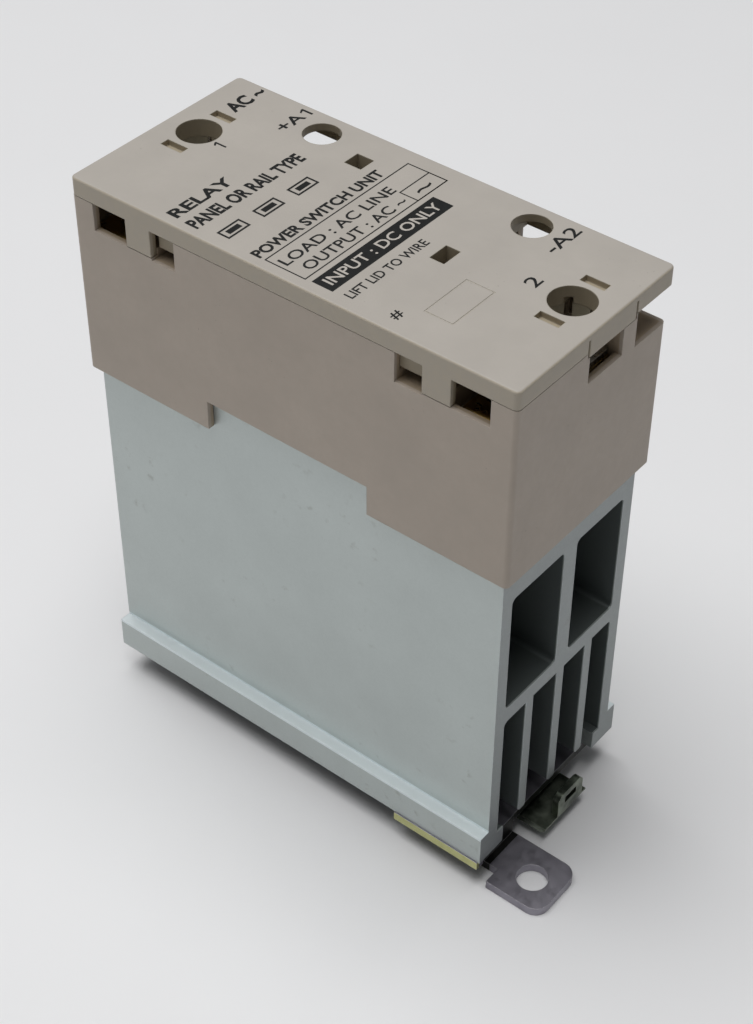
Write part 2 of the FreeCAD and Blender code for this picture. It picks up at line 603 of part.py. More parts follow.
def latch():
    """Sliding rail latch: nose under the rail, window for its spring, pull tab at the end."""
    z = (LATCH_Z, LATCH_Z + LATCH_T)
    nose_x = RAIL_W / 2 + RAIL_SIDE_GAP - RAIL_GRIP
    shape = box((nose_x, LATCH_END_X), LATCH_Y, z)
    pull_x = (LATCH_END_X - LATCH_T, LATCH_END_X)
    shape = shape.fuse(box(pull_x, LATCH_PULL_Y, (LATCH_Z, LATCH_PULL_Z))).removeSplitter()
    shape = rounded(shape, LATCH_T, lambda edge: edge.BoundBox.ZMax < z[0] + 0.01 and outer_end(edge))
    shape = rounded(shape, LATCH_CORNER_R, lambda edge: lengthwise(edge, low=LATCH_PULL_Z - 0.01))
    stop_x, stop_y = spring_line()
    window_x = (stop_x - SPRING_L - TOUCH, stop_x + STEEL_T + SLIP)
    window_y = (stop_y - SPRING_R - SLIP, stop_y + SPRING_R + SLIP)
    shape = shape.cut(box(window_x, window_y, (z[0] - 1, z[1] + 1)))
    slot_top = LATCH_PULL_Z - LATCH_SLOT_DROP
    pull_y = (LATCH_PULL_Y[0] + LATCH_PULL_Y[1]) / 2
    slot_y = (pull_y - LATCH_SLOT[0] / 2, pull_y + LATCH_SLOT[0] / 2)
    shape = shape.cut(box((pull_x[0] - 1, pull_x[1] + 1), slot_y, (slot_top - LATCH_SLOT[1], slot_top)))
    save("din_latch", shape)


def outer_end(edge):
    """True for an edge across the latch's outer end."""
    return runs_along(edge, V(0, 1, 0)) and edge.BoundBox.XMin > LATCH_END_X - 0.01


def latch_spring():
    """Coil spring along X between the latch's window and the bracket's stop."""
    stop_x, stop_y = spring_line()
    radius = SPRING_R - SPRING_WIRE_R
    length = SPRING_L - 2 * SPRING_WIRE_R - TOUCH
    helix = Part.makeHelix(length / SPRING_TURNS, length, radius)
    start = V(radius, 0, 0)
    slope = math.atan2(length / SPRING_TURNS, 2 * math.pi * radius)
    normal = V(0, math.cos(slope), math.sin(slope))
    section = Part.Wire(Part.makeCircle(SPRING_WIRE_R, start, normal))
    coil = Part.Wire(helix).makePipeShell([section], True, True)
    coil.rotate(V(0, 0, 0), V(0, 1, 0), 90)
    coil.translate(V(stop_x - SPRING_L + SPRING_WIRE_R, stop_y, LATCH_Z + LATCH_T / 2))
    save("latch_spring", coil)


def load_bar(side, name):
    """Brass bar: pad under the load screw, leg down the near wall, foot on the module's post."""
    x = (side * LOAD_X - BAR_HALF_W, side * LOAD_X + BAR_HALF_W)
    near = (BAR_NEAR_Y, BAR_NEAR_Y + BAR_T)
    foot_z = (CASE_TOP_Z, CASE_TOP_Z + BAR_T)
    pad = box(x, (BAR_NEAR_Y, LOAD_WALL_Y - SLIP * 2), (FLOOR_Z, SHELF_Z))
    leg = box(x, near, (foot_z[0], SHELF_Z))
    reach = mirrored(side, (BAR_FOOT_IN_X, LOAD_X + BAR_HALF_W))
    foot = box(reach, (BAR_NEAR_Y, BAR_NEAR_Y + 5.2), foot_z)
    toe_x = mirrored(side, (BAR_FOOT_IN_X, 2 * POST_X - BAR_FOOT_IN_X))
    toe = box(toe_x, (BAR_NEAR_Y, POST_Y + 2.6), foot_z)
    shape = joined([pad, leg, foot, toe])
    near_top = lambda edge: lengthwise(edge, low=SHELF_Z - 0.01) and edge.BoundBox.YMax < near[0] + 0.01
    shape = rounded(shape, BAR_BEND_R, near_top)
    shape = shape.cut(rod(side * LOAD_X, LOAD_Y, LOAD_SCREW_R + 0.25, (FLOOR_Z - 1, SHELF_Z + 1)))
    shape = shape.cut(rod(side * POST_X, POST_Y, 1.35, (foot_z[0] - 1, foot_z[1] + 1)))
    save(name, shape)


def input_plate(side, name):
    """Brass plate under an input screw, with a tail down through the deck to the board."""
    x = side * INPUT_X
    pad = box((x - PLATE_HALF_X, x + PLATE_HALF_X), PLATE_Y, (FLOOR_Z, SHELF_Z))
    tail_y = (PLATE_Y[0], PLATE_Y[0] + BAR_T)
    tail = box((x - TAIL_HALF_W, x + TAIL_HALF_W), tail_y, (BOARD_Z - 1.5, FLOOR_Z + 0.1))
    shape = joined([pad, tail])
    shape = shape.cut(rod(x, INPUT_Y, INPUT_SCREW_R + 0.2, (FLOOR_Z - 1, SHELF_Z + 1)))
    save(name, shape)


def nuts():
    """Square nuts in the bosses under the terminals."""
    kinds = (
        ("load_nuts", LOAD_X, LOAD_Y, LOAD_NUT, LOAD_SCREW_R),
        ("input_nuts", INPUT_X, INPUT_Y, INPUT_NUT, INPUT_SCREW_R),
    )
    for name, x, y, (size, height), screw_r in kinds:
        solids = []
        for side in (-1, 1):
            z = (FLOOR_Z - height, FLOOR_Z)
            nut = rounded(around(side * x, y, size, size, z), 0.5, upright)
            solids.append(nut.cut(rod(side * x, y, screw_r + RUN, (z[0] - 1, z[1] + 1))))
        save(name, *solids)


def terminal_screw(prefix, label, x, y, sizes):
    """Captive square washer and the pan-head screw that clamps a wire with it."""
    washer, screw_r, head_r, head_h, length = sizes
    size_x, size_y, thick = washer
    washer_z = (SHELF_Z + TOUCH, SHELF_Z + TOUCH + thick)
    plate = rounded(around(x, y, size_x, size_y, washer_z), 0.6, upright)
    plate = plate.cut(rod(x, y, screw_r + RUN, (washer_z[0] - 1, washer_z[1] + 1)))
    save(prefix + "_washer_" + label, plate)
    seat = washer_z[1] + TOUCH
    head = rod(x, y, head_r, (seat, seat + head_h))
    head = rounded(head, head_h * 0.35, lambda edge: edge.BoundBox.ZMin > seat + head_h - 0.01)
    screw = head.fuse(rod(x, y, screw_r, (seat - length, seat + 0.2))).removeSplitter()
    recess_z = (seat + head_h * 0.35, seat + head_h + 1)
    screw = screw.cut(cross(x, y, head_r * 1.1, 0.9, recess_z))
    screw = screw.cut(around(x, y, head_r * 2.2, 0.9, (seat + head_h * 0.55, seat + head_h + 1)))
    save(prefix + "_screw_" + label, screw)


def module_screw_places():
    """x and y of the two screws that hold the power module to the heat sink."""
    return [(side * (MODULE_BASE[0] / 2 - MODULE_SCREW_INSET), MODULE_Y) for side in (-1, 1)]


def pan_screw(x, y, radius, head_r, head_h, seat, length, up=True):
    """A pan-head screw whose head stands above its seat, or hangs below it."""
    way = 1 if up else -1
    head = rod(x, y, head_r, (seat, seat + way * head_h))
    shank = rod(x, y, radius, (seat + way * 0.1, seat - way * length))
    recess = cross(x, y, head_r, 0.5, (seat + way * head_h * 0.4, seat + way * (head_h + 1)))
    return head.fuse(shank).removeSplitter().cut(recess)


def power_module():
    """Thermal sheet, copper base, ceramic substrate, two thyristor chips, case, posts, pins."""
    length, width, thick = MODULE_BASE
    sheet_z = (SINK_BASE_Z[1], MODULE_Z)
    base_z = (MODULE_Z, CASE_Z)
    sheet = around(0, MODULE_Y, length, width, sheet_z)
    base = rounded(around(0, MODULE_Y, length, width, base_z), 2.0, upright)
    screws = []
    for x, y in module_screw_places():
        sheet = sheet.cut(rod(x, y, CLAMP_R + 0.3, (sheet_z[0] - 1, sheet_z[1] + 1)))
        base = base.cut(rod(x, y, CLAMP_R + 0.15, (base_z[0] - 1, base_z[1] + 1)))
        screws.append(pan_screw(x, y, CLAMP_R, CLAMP_HEAD_R, 2.2, CASE_Z, 7.0))
    save("thermal_sheet", sheet)
    save("module_base_plate", base)
    save("module_screws", *screws)
    top = CASE_Z + SUBSTRATE[2]
    save("ceramic_substrate", around(0, MODULE_Y, SUBSTRATE[0], SUBSTRATE[1], (CASE_Z, top)))
    chips = [around(side * 8, MODULE_Y, CHIP[0], CHIP[1], (top, top + CHIP[2])) for side in (-1, 1)]
    save("thyristor_chips", *chips)
    posts = []
    pins = []
    case = rounded(around(0, MODULE_Y, MODULE_CASE[0], MODULE_CASE[1], (CASE_Z, CASE_TOP_Z)), 1.2, upright)
    room = (MODULE_CASE[0] - 2 * CASE_WALL, MODULE_CASE[1] - 2 * CASE_WALL)
    case = case.cut(around(0, MODULE_Y, room[0], room[1], (CASE_Z - 1, CASE_TOP_Z - CASE_WALL)))
    for side in (-1, 1):
        x = side * POST_X
        post = rod(x, POST_Y, POST_R, (top, CASE_TOP_Z))
        posts.append(post.cut(rod(x, POST_Y, 1.25 + RUN, (CASE_TOP_Z - 5, CASE_TOP_Z + 1))))
        case = case.cut(rod(x, POST_Y, POST_R + RUN, (CASE_TOP_Z - 2, CASE_TOP_Z + 1)))
    for x, y in pin_places():
        pins.append(rod(x, y, 0.4, (top, BOARD_TOP_Z + 0.8)))
        case = case.cut(rod(x, y, 0.4 + RUN, (CASE_TOP_Z - 2, CASE_TOP_Z + 1)))
    save("module_case", case)
    save("module_posts", *posts)
    save("gate_pins", *pins)
    seat = CASE_TOP_Z + BAR_T
    save("bar_screws", *[pan_screw(side * POST_X, POST_Y, 1.25, 2.3, 1.6, seat, 5.0) for side in (-1, 1)])


def pin_places():
    """x and y of the four pins between the module and the board."""
    return [(x, MODULE_Y + 5.4) for x in (-9.0, -3.0, 3.0, 9.0)]


def circuit_board():
    """Board with its screws and its larger components."""
    board = box((-BOARD_HALF_X, BOARD_HALF_X), BOARD_Y, (BOARD_Z, BOARD_TOP_Z))
    board = rounded(board, 1.0, upright)
    through = (BOARD_Z - 1, BOARD_TOP_Z + 1)
    screws = []
    for x, y, top in board_posts():
        board = board.cut(rod(x, y, 1.1, through))
        screws.append(pan_screw(x, y, 0.8, 1.8, 1.3, BOARD_Z, 5.6, up=False))
    for x, y in pin_places():
        board = board.cut(rod(x, y, 0.4 + RUN, through))
    for side in (-1, 1):
        tail_y = PLATE_Y[0] + BAR_T / 2
        board = board.cut(around(side * INPUT_X, tail_y, 2 * TAIL_HALF_W + 0.2, BAR_T + 0.2, through))
    save("circuit_board", board)
    save("board_screws", *screws)
    board_parts()
    indicator()


def board_parts():
    """The larger components that stand on the circuit board."""
    x, y, size_x, size_y, height = COUPLER
    body = around(x, y, size_x, size_y, (BOARD_TOP_Z + 0.5, BOARD_TOP_Z + 0.5 + height))
    body = rounded(body, 0.4, upright)
    legs = []
    for row in (-1, 1):
        for column in (-1, 0, 1):
            leg_y = y + row * (size_y / 2 + 0.4)
            legs.append(around(x + column * PIN_PITCH, leg_y, 0.6, 0.9, (BOARD_TOP_Z, BOARD_TOP_Z + 2.2)))
    save("photocoupler", joined([body] + legs))
    x, y, size_x, size_y, height = SNUBBER
    block = around(x, y, size_x, size_y, (BOARD_TOP_Z, BOARD_TOP_Z + height))
    save("snubber_capacitor", rounded(block, 0.6, upright))
    x, y, radius, height = FILTER_CAN
    can = rod(x, y, radius, (BOARD_TOP_Z, BOARD_TOP_Z + height))
    can_top = BOARD_TOP_Z + height - 0.01
    save("filter_capacitor", rounded(can, 0.5, lambda edge: edge.BoundBox.ZMin > can_top))
    x, y, radius, thick = VARISTOR
    disc = Part.makeCylinder(radius, thick, V(x, y, BOARD_TOP_Z + radius + 0.6), V(0, 1, 0))
    lead_z = (BOARD_TOP_Z, BOARD_TOP_Z + 2.4)
    leads = [rod(x + side * PIN_PITCH, y + thick / 2, LEAD_R, lead_z) for side in (-1, 1)]
    save("varistor", joined([disc] + leads))
    solids = []
    low, high = RESISTOR_X
    axis_z = BOARD_TOP_Z + 1.4
    for y in RESISTOR_Y:
        body = Part.makeCylinder(RESISTOR_R, high - low - 1.6, V(low + 0.8, y, axis_z), V(1, 0, 0))
        wire = Part.makeCylinder(LEAD_R, high - low, V(low, y, axis_z), V(1, 0, 0))
        leg_z = (BOARD_TOP_Z, axis_z)
        ends = [rod(x, y, LEAD_R * 0.8, leg_z) for x in (low + LEAD_R, high - LEAD_R)]
        solids.append(joined([body, wire] + ends))
    save("resistors", *solids)


def indicator():
    """Light-emitting diode on the board and the clear pipe that carries its light to the lid."""
    x, y = WINDOW_LED[:2]
    dome_z = BOARD_TOP_Z + LED_H
    dome = rod(x, y, LED_R, (BOARD_TOP_Z + 1.0, dome_z)).fuse(Part.makeSphere(LED_R, V(x, y, dome_z)))
    legs = [rod(x + side * 0.9, y, LEAD_R, (BOARD_TOP_Z, BOARD_TOP_Z + 1.2)) for side in (-1, 1)]
    save("indicator_led", joined([dome] + legs))
    pipe_top = TOTAL_H - PIPE_DROP
    pipe = rod(x, y, PIPE_R, (dome_z + LED_R + 0.3, pipe_top))
    collar_top = RIM_Z - BARRIER_T
    pipe = pipe.fuse(rod(x, y, PIPE_R + 0.8, (collar_top - 0.8, collar_top))).removeSplitter()
    save("light_pipe", rounded(pipe, 0.5, lambda edge: edge.BoundBox.ZMin > pipe_top - 0.01))


def housing_screws():
    """Three screws down the housing's bores into the heat sink."""
    solids = []
    for x, y, top in clamp_places():
        solids.append(pan_screw(x, y, CLAMP_R, CLAMP_HEAD_R, 2.2, CLAMP_FLOOR_Z, 9.0))
    save("housing_screws", *solids)


def build():
    """Make every node and write one STEP file for each."""
    cover()
    housing()
    heat_sink()
    bracket()
    bracket_screws()
    latch()
    latch_spring()
    housing_screws()
    power_module()
    circuit_board()
    nuts()
    load = (LOAD_WASHER, LOAD_SCREW_R, LOAD_HEAD_R, LOAD_HEAD_H, LOAD_SCREW_L)
    for side, label in ((-1, "1"), (1, "2")):
        load_bar(side, "load_bar_" + label)
        terminal_screw("load", label, side * LOAD_X, LOAD_Y, load)
    inputs = (INPUT_WASHER, INPUT_SCREW_R, INPUT_HEAD_R, INPUT_HEAD_H, INPUT_SCREW_L)
    for side, label in ((-1, "a1"), (1, "a2")):
        input_plate(side, "input_plate_" + label)
        terminal_screw("input", label, side * INPUT_X, INPUT_Y, inputs)
    os.makedirs("parts", exist_ok=True)
    for name, solids in shapes.items():
        shape = solids[0] if len(solids) == 1 else Part.makeCompound(solids)
        shape.exportStep("parts/" + name + ".step")


build()
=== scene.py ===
import math

import bpy
import numpy as np
from mathutils import Matrix, Vector


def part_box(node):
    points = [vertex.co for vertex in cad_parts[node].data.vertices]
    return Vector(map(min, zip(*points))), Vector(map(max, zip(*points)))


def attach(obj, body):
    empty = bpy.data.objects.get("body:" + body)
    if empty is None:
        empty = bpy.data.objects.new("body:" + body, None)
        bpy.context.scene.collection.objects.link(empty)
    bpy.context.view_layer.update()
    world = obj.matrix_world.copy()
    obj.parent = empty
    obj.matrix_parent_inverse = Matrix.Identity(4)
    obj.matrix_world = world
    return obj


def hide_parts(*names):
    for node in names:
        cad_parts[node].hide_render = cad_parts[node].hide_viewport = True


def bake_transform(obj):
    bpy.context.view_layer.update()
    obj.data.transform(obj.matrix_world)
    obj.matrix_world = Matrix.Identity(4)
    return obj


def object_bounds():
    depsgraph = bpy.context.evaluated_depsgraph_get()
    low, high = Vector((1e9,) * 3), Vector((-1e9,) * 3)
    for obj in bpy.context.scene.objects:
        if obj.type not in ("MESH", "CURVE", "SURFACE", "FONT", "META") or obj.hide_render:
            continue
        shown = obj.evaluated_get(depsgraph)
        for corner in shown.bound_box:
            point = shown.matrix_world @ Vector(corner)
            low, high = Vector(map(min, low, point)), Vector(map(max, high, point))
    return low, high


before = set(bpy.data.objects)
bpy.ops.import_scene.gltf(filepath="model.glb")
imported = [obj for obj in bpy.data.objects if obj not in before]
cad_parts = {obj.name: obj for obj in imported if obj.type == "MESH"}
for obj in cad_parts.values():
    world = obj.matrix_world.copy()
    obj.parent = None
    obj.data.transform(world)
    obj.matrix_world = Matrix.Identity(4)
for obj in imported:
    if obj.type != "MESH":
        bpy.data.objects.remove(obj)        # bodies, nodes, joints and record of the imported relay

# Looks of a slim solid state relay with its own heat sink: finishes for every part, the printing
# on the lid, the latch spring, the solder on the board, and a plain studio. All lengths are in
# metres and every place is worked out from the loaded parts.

bl_info = {
    "name": "Slim Solid State Relay",
    "version": (1, 0, 0),
    "blender": (4, 5, 0),
    "location": "3D View > Sidebar > Relay",
    "description": "Finishes, printing, spring, solder and studio for a panel relay with heat sink",
    "category": "Object",
}

MM = 0.001
REST_BOX = [list(corner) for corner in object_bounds()]
LID_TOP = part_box("terminal_cover")[1].z
SPRING_LOW, SPRING_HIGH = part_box("latch_spring")
BOARD_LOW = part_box("circuit_board")[0]
EDGE_SAMPLES = 4
EDGE_DOT = (0.995, 0.80)         # dot products of true and rounded normal: edge begins, edge is full
FACING = (0.80, 0.95)            # how far a normal points along an axis: begins, is full
THREAD_START = 0.1 * MM          # the ridges grow to full over this height
THREAD_RELIEF = 0.15 * MM


# ---- colours, nodes and materials ----------------------------------------------------------------

def linear(shade):
    """Linear RGBA of an sRGB hex value such as "B6B1A9"."""
    parts = [int(shade[i:i + 2], 16) / 255 for i in (0, 2, 4)]
    return tuple(p / 12.92 if p <= 0.04045 else ((p + 0.055) / 1.055) ** 2.4 for p in parts) + (1.0,)


def scaled(colour, by):
    """A linear colour made darker or lighter, by one number or one for each of red, green, blue."""
    by = by if isinstance(by, tuple) else (by, by, by)
    return tuple(min(1.0, part * factor) for part, factor in zip(colour, by)) + (1.0,)


def add(tree, kind, sockets=(), **settings):
    """One shader node: its settings, then its inputs, each a value or where its link comes from.

    A node given as an input links from the first output that it has in use."""
    made = tree.nodes.new("ShaderNode" + kind)
    for name, value in settings.items():
        setattr(made, name, value)
    for name, value in dict(sockets).items():
        if isinstance(value, bpy.types.Node):
            value = next(output for output in value.outputs if output.enabled)
        if isinstance(value, bpy.types.NodeSocket):
            tree.links.new(value, made.inputs[name])
        else:
            made.inputs[name].default_value = value
    return made


def start_material(name):
    """A new node material: itself, its tree, its output node and its object coordinates."""
    made = bpy.data.materials.new(name)
    made.use_nodes = True
    made.node_tree.nodes.clear()
    tree = made.node_tree
    return made, tree, add(tree, "OutputMaterial"), add(tree, "TexCoord").outputs["Object"]


def grain(tree, coords, size_mm, low=0.0, high=1.0, least=0.0, most=1.0, detail=3.0, shift=0.0):
    """Patches that measure size_mm, one number or one for each axis.

    Noise between low and high is stretched to least..most and held inside them."""
    sizes = size_mm if isinstance(size_mm, tuple) else (size_mm,) * 3
    density = tuple(1 / (size * MM) for size in sizes)
    sockets = {0: coords, 1: density, 2: (shift, shift, shift)}
    place = add(tree, "VectorMath", sockets, operation="MULTIPLY_ADD")
    noise = add(tree, "TexNoise", {"Vector": place, "Scale": 1.0, "Detail": detail, "Roughness": 0.6})
    return add(tree, "MapRange", {0: noise, 1: low, 2: high, 3: least, 4: most})


def edges(tree, radius_mm):
    """Normal rounded over sharp edges, and a mask that is 1 on the edges.

    The mask is one less the dot product of the true and the rounded normal, stretched."""
    rounded = add(tree, "Bevel", {"Radius": radius_mm * MM}, samples=EDGE_SAMPLES)
    true = add(tree, "NewGeometry").outputs["Normal"]
    dot = add(tree, "VectorMath", {0: rounded, 1: true}, operation="DOT_PRODUCT")
    return rounded, add(tree, "MapRange", {0: dot, 1: EDGE_DOT[0], 2: EDGE_DOT[1]})


def facing(tree, axis):
    """1 where the surface faces along an axis (0, 1 or 2), either way, and 0 elsewhere."""
    normal = add(tree, "NewGeometry").outputs["Normal"]
    part = add(tree, "SeparateXYZ", {0: normal}).outputs[axis]
    size = add(tree, "Math", {0: part}, operation="ABSOLUTE")
    return add(tree, "MapRange", {0: size, 1: FACING[0], 2: FACING[1]})


def inside(tree, coords, room):
    """1 inside a room given by its low and high corners in metres, and 0 outside it.

    The largest of the three distances from its middle, each over its half size, is below one."""
    low, high = np.asarray(room, float)
    middle, half = (low + high) / 2, (high - low) / 2
    sockets = {0: coords, 1: tuple(1 / half), 2: tuple(-middle / half)}
    place = add(tree, "VectorMath", sockets, operation="MULTIPLY_ADD")
    size = add(tree, "SeparateXYZ", {0: add(tree, "VectorMath", {0: place}, operation="ABSOLUTE")})
    most = add(tree, "Math", {0: size.outputs[0], 1: size.outputs[1]}, operation="MAXIMUM")
    most = add(tree, "Math", {0: most, 1: size.outputs[2]}, operation="MAXIMUM")
    return add(tree, "Math", {0: most, 1: 1.0}, operation="LESS_THAN")


def moulded(name, shade, roughness, edge_wear_and_highlight="C8C2B8", mottle=0.05, specks=0.0, edge_mm=0.18, painted_hollow_shade=None,
            sides=None):
    """Injection moulded plastic with a spark-eroded skin.

    The eye sees a matt, faintly mottled skin, corners lighter, partly from wear and partly as painted
    highlight, and a few dust specks.
    painted_hollow_shade, where given, is (room, colour factors): painted shade that makes the skin darker and
    browner down inside holes and hollows. sides, where given, is the colour of the upright faces, painted
    warmer than the top as painted light, because the light makes the top look greyer."""
    made, tree, output, coords = start_material(name)
    rounded, edge = edges(tree, edge_mm)
    base = linear(shade)
    dark, light = scaled(base, 1 - mottle), scaled(base, 1 + mottle)
    cloud = grain(tree, coords, 11.0, 0.30, 0.70)
    colour = add(tree, "Mix", {0: cloud, 6: dark, 7: light}, data_type="RGBA")
    # painted light: the upright faces get the warmer sides colour, and the top keeps the greyer one
    if sides:
        colour = add(tree, "Mix", {0: facing(tree, 2), 6: linear(sides), 7: colour}, data_type="RGBA")
    fine = grain(tree, coords, 1.3, 0.35, 0.75, 0.0, 0.35, shift=7.0)
    colour = add(tree, "Mix", {0: fine, 6: colour, 7: dark}, data_type="RGBA")
    # lighter edges: partly wear, partly a painted highlight where the edges catch the light
    wear_and_highlight_patches = grain(tree, coords, 2.2, 0.35, 0.65, 0.15, 0.6, shift=3.0)
    wear_and_highlight_mask = add(tree, "Math", {0: edge, 1: wear_and_highlight_patches}, operation="MULTIPLY")
    colour = add(tree, "Mix", {0: wear_and_highlight_mask, 6: colour, 7: linear(edge_wear_and_highlight)}, data_type="RGBA")
    if specks:
        dot = grain(tree, coords, 0.45, 0.80, 0.84, detail=0.0, shift=21.0)
        patch = grain(tree, coords, 9.0, 0.56, 0.64, 0.0, specks, detail=1.0, shift=13.0)
        few = add(tree, "Math", {0: dot, 1: patch}, operation="MULTIPLY")
        colour = add(tree, "Mix", {0: few, 6: colour, 7: linear("5A5248")}, data_type="RGBA")
    # painted shade: a darker, browner skin inside the room, down in holes and hollows
    if painted_hollow_shade:
        room, by = painted_hollow_shade
        colour = add(tree, "Mix", {0: inside(tree, coords, room), 6: colour, 7: scaled(base, by)},
                     data_type="RGBA")
    skin = grain(tree, coords, 0.35)
    gloss = grain(tree, coords, 1.3, 0.3, 0.7, roughness - 0.05, roughness + 0.06, shift=7.0)
    bump = add(tree, "Bump", {"Strength": 0.6, "Distance": 0.012 * MM, "Height": skin, "Normal": rounded})
    sockets = {"Base Color": colour, "Roughness": gloss, "IOR": 1.5, "Normal": bump}
    shader = add(tree, "BsdfPrincipled", sockets)
    tree.links.new(shader.outputs[0], output.inputs[0])
    return made


def extruded(name, shade, sawn, rooms, roughness):
    """Aluminium extrusion, clear anodised satin.

    The eye sees a soft grey-blue sheen with faint lines along the extrusion, cloudy handling
    marks, saw lines on the cut ends and bright corners, partly wear and partly painted highlight.
    rooms are pairs of a room and the colour inside it, for painted shade in the channels and
    painted highlight on the ledges."""
    made, tree, output, coords = start_material(name)
    rounded, edge = edges(tree, 0.2)
    end = facing(tree, 0)
    base = linear(shade)
    cloud = grain(tree, coords, 18.0, 0.3, 0.7)
    colour = add(tree, "Mix", {0: cloud, 6: base, 7: scaled(base, 1.08)}, data_type="RGBA")
    colour = add(tree, "Mix", {0: end, 6: colour, 7: linear(sawn)}, data_type="RGBA")
    scuff = grain(tree, coords, 2.4, 0.60, 0.72, 0.0, 0.35, detail=5.0, shift=5.0)
    where = grain(tree, coords, 18.0, 0.5, 0.62)
    handled = add(tree, "Math", {0: scuff, 1: where}, operation="MULTIPLY")
    colour = add(tree, "Mix", {0: handled, 6: colour, 7: linear("77756C")}, data_type="RGBA")
    # bright edges: partly wear, partly painted highlight
    wear_and_highlight_patches = grain(tree, coords, 2.4, 0.35, 0.6, 0.2, 0.9, detail=5.0, shift=5.0)
    wear_and_highlight_edges = add(tree, "Math", {0: edge, 1: wear_and_highlight_patches}, operation="MULTIPLY")
    colour = add(tree, "Mix", {0: wear_and_highlight_edges, 6: colour, 7: linear("D4DADB")}, data_type="RGBA")
    # painted shade in the channels and painted highlight on the ledges, one room at a time
    for room, shade_inside in rooms:
        sockets = {0: inside(tree, coords, room), 6: colour, 7: linear(shade_inside)}
        colour = add(tree, "Mix", sockets, data_type="RGBA")
    # die lines 0.5 mm apart along the extrusion, and saw lines 0.3 mm apart across the cut ends
    die_lines = grain(tree, coords, (90.0, 0.5, 0.5))
    saw_lines = grain(tree, coords, (0.6, 12.0, 0.28))
    relief = add(tree, "Mix", {0: end, 2: die_lines, 3: saw_lines})
    satin = grain(tree, coords, 0.4)
    gloss = grain(tree, coords, 0.4, 0.3, 0.7, roughness - 0.06, roughness + 0.06)
    lines = add(tree, "Bump", {"Strength": 0.5, "Distance": 0.012 * MM, "Height": relief, "Normal": rounded})
    bump = add(tree, "Bump", {"Strength": 0.4, "Distance": 0.006 * MM, "Height": satin, "Normal": lines})
    sockets = {"Base Color": colour, "Metallic": 0.7, "Roughness": gloss, "Normal": bump}
    shader = add(tree, "BsdfPrincipled", sockets)
    tree.links.new(shader.outputs[0], output.inputs[0])
    return made


def plated(name, shade, tint, roughness, bright, tint_mm=14.0, lines=0.4, rooms=(), thread=None):
    """Metal with a plated or rolled skin: a colour that drifts to a tint, fine marks, bright edges that are
    partly wear and partly painted highlight.

    rooms are pairs of a room and the shade of the skin inside it. thread, where given, is (pitch
    in mm, top level in metres): ridges round the shank below it, a sine of the height."""
    made, tree, output, coords = start_material(name)
    rounded, edge = edges(tree, 0.12)
    drift = grain(tree, coords, tint_mm, 0.35, 0.65, shift=2.0)
    colour = add(tree, "Mix", {0: drift, 6: linear(shade), 7: linear(tint)}, data_type="RGBA")
    for room, shade_inside in rooms:
        sockets = {0: inside(tree, coords, room), 6: colour, 7: linear(shade_inside)}
        colour = add(tree, "Mix", sockets, data_type="RGBA")
    spangle = grain(tree, coords, 1.6, 0.45, 0.75, 0.0, 0.4)
    sockets = {0: 1.0, 6: colour, 7: (0.8, 0.8, 0.8, 1.0)}
    dull = add(tree, "Mix", sockets, data_type="RGBA", blend_type="MULTIPLY")
    colour = add(tree, "Mix", {0: spangle, 6: colour, 7: dull}, data_type="RGBA")
    # bright edges: partly wear, partly painted highlight
    wear_and_highlight_mask = add(tree, "Math", {0: edge, 1: 0.7}, operation="MULTIPLY")
    colour = add(tree, "Mix", {0: wear_and_highlight_mask, 6: colour, 7: linear(bright)}, data_type="RGBA")
    gloss = grain(tree, coords, 1.6, 0.3, 0.7, roughness - 0.06, roughness + 0.08)
    marks = grain(tree, coords, lines)
    bump = add(tree, "Bump", {"Strength": 0.5, "Distance": 0.006 * MM, "Height": marks, "Normal": rounded})
    if thread:
        pitch, top = thread
        level = add(tree, "SeparateXYZ", {0: coords}).outputs[2]
        turn = add(tree, "Math", {0: level, 1: 2 * math.pi / (pitch * MM)}, operation="MULTIPLY")
        wave = add(tree, "Math", {0: turn}, operation="SINE")
        shank = add(tree, "MapRange", {0: level, 1: top, 2: top - THREAD_START})
        ridge = add(tree, "Math", {0: wave, 1: shank}, operation="MULTIPLY")
        sockets = {"Strength": 1.0, "Distance": THREAD_RELIEF, "Height": ridge, "Normal": bump}
        bump = add(tree, "Bump", sockets)
    sockets = {"Base Color": colour, "Metallic": 1.0, "Roughness": gloss, "Normal": bump}
    shader = add(tree, "BsdfPrincipled", sockets)
    tree.links.new(shader.outputs[0], output.inputs[0])
    return made


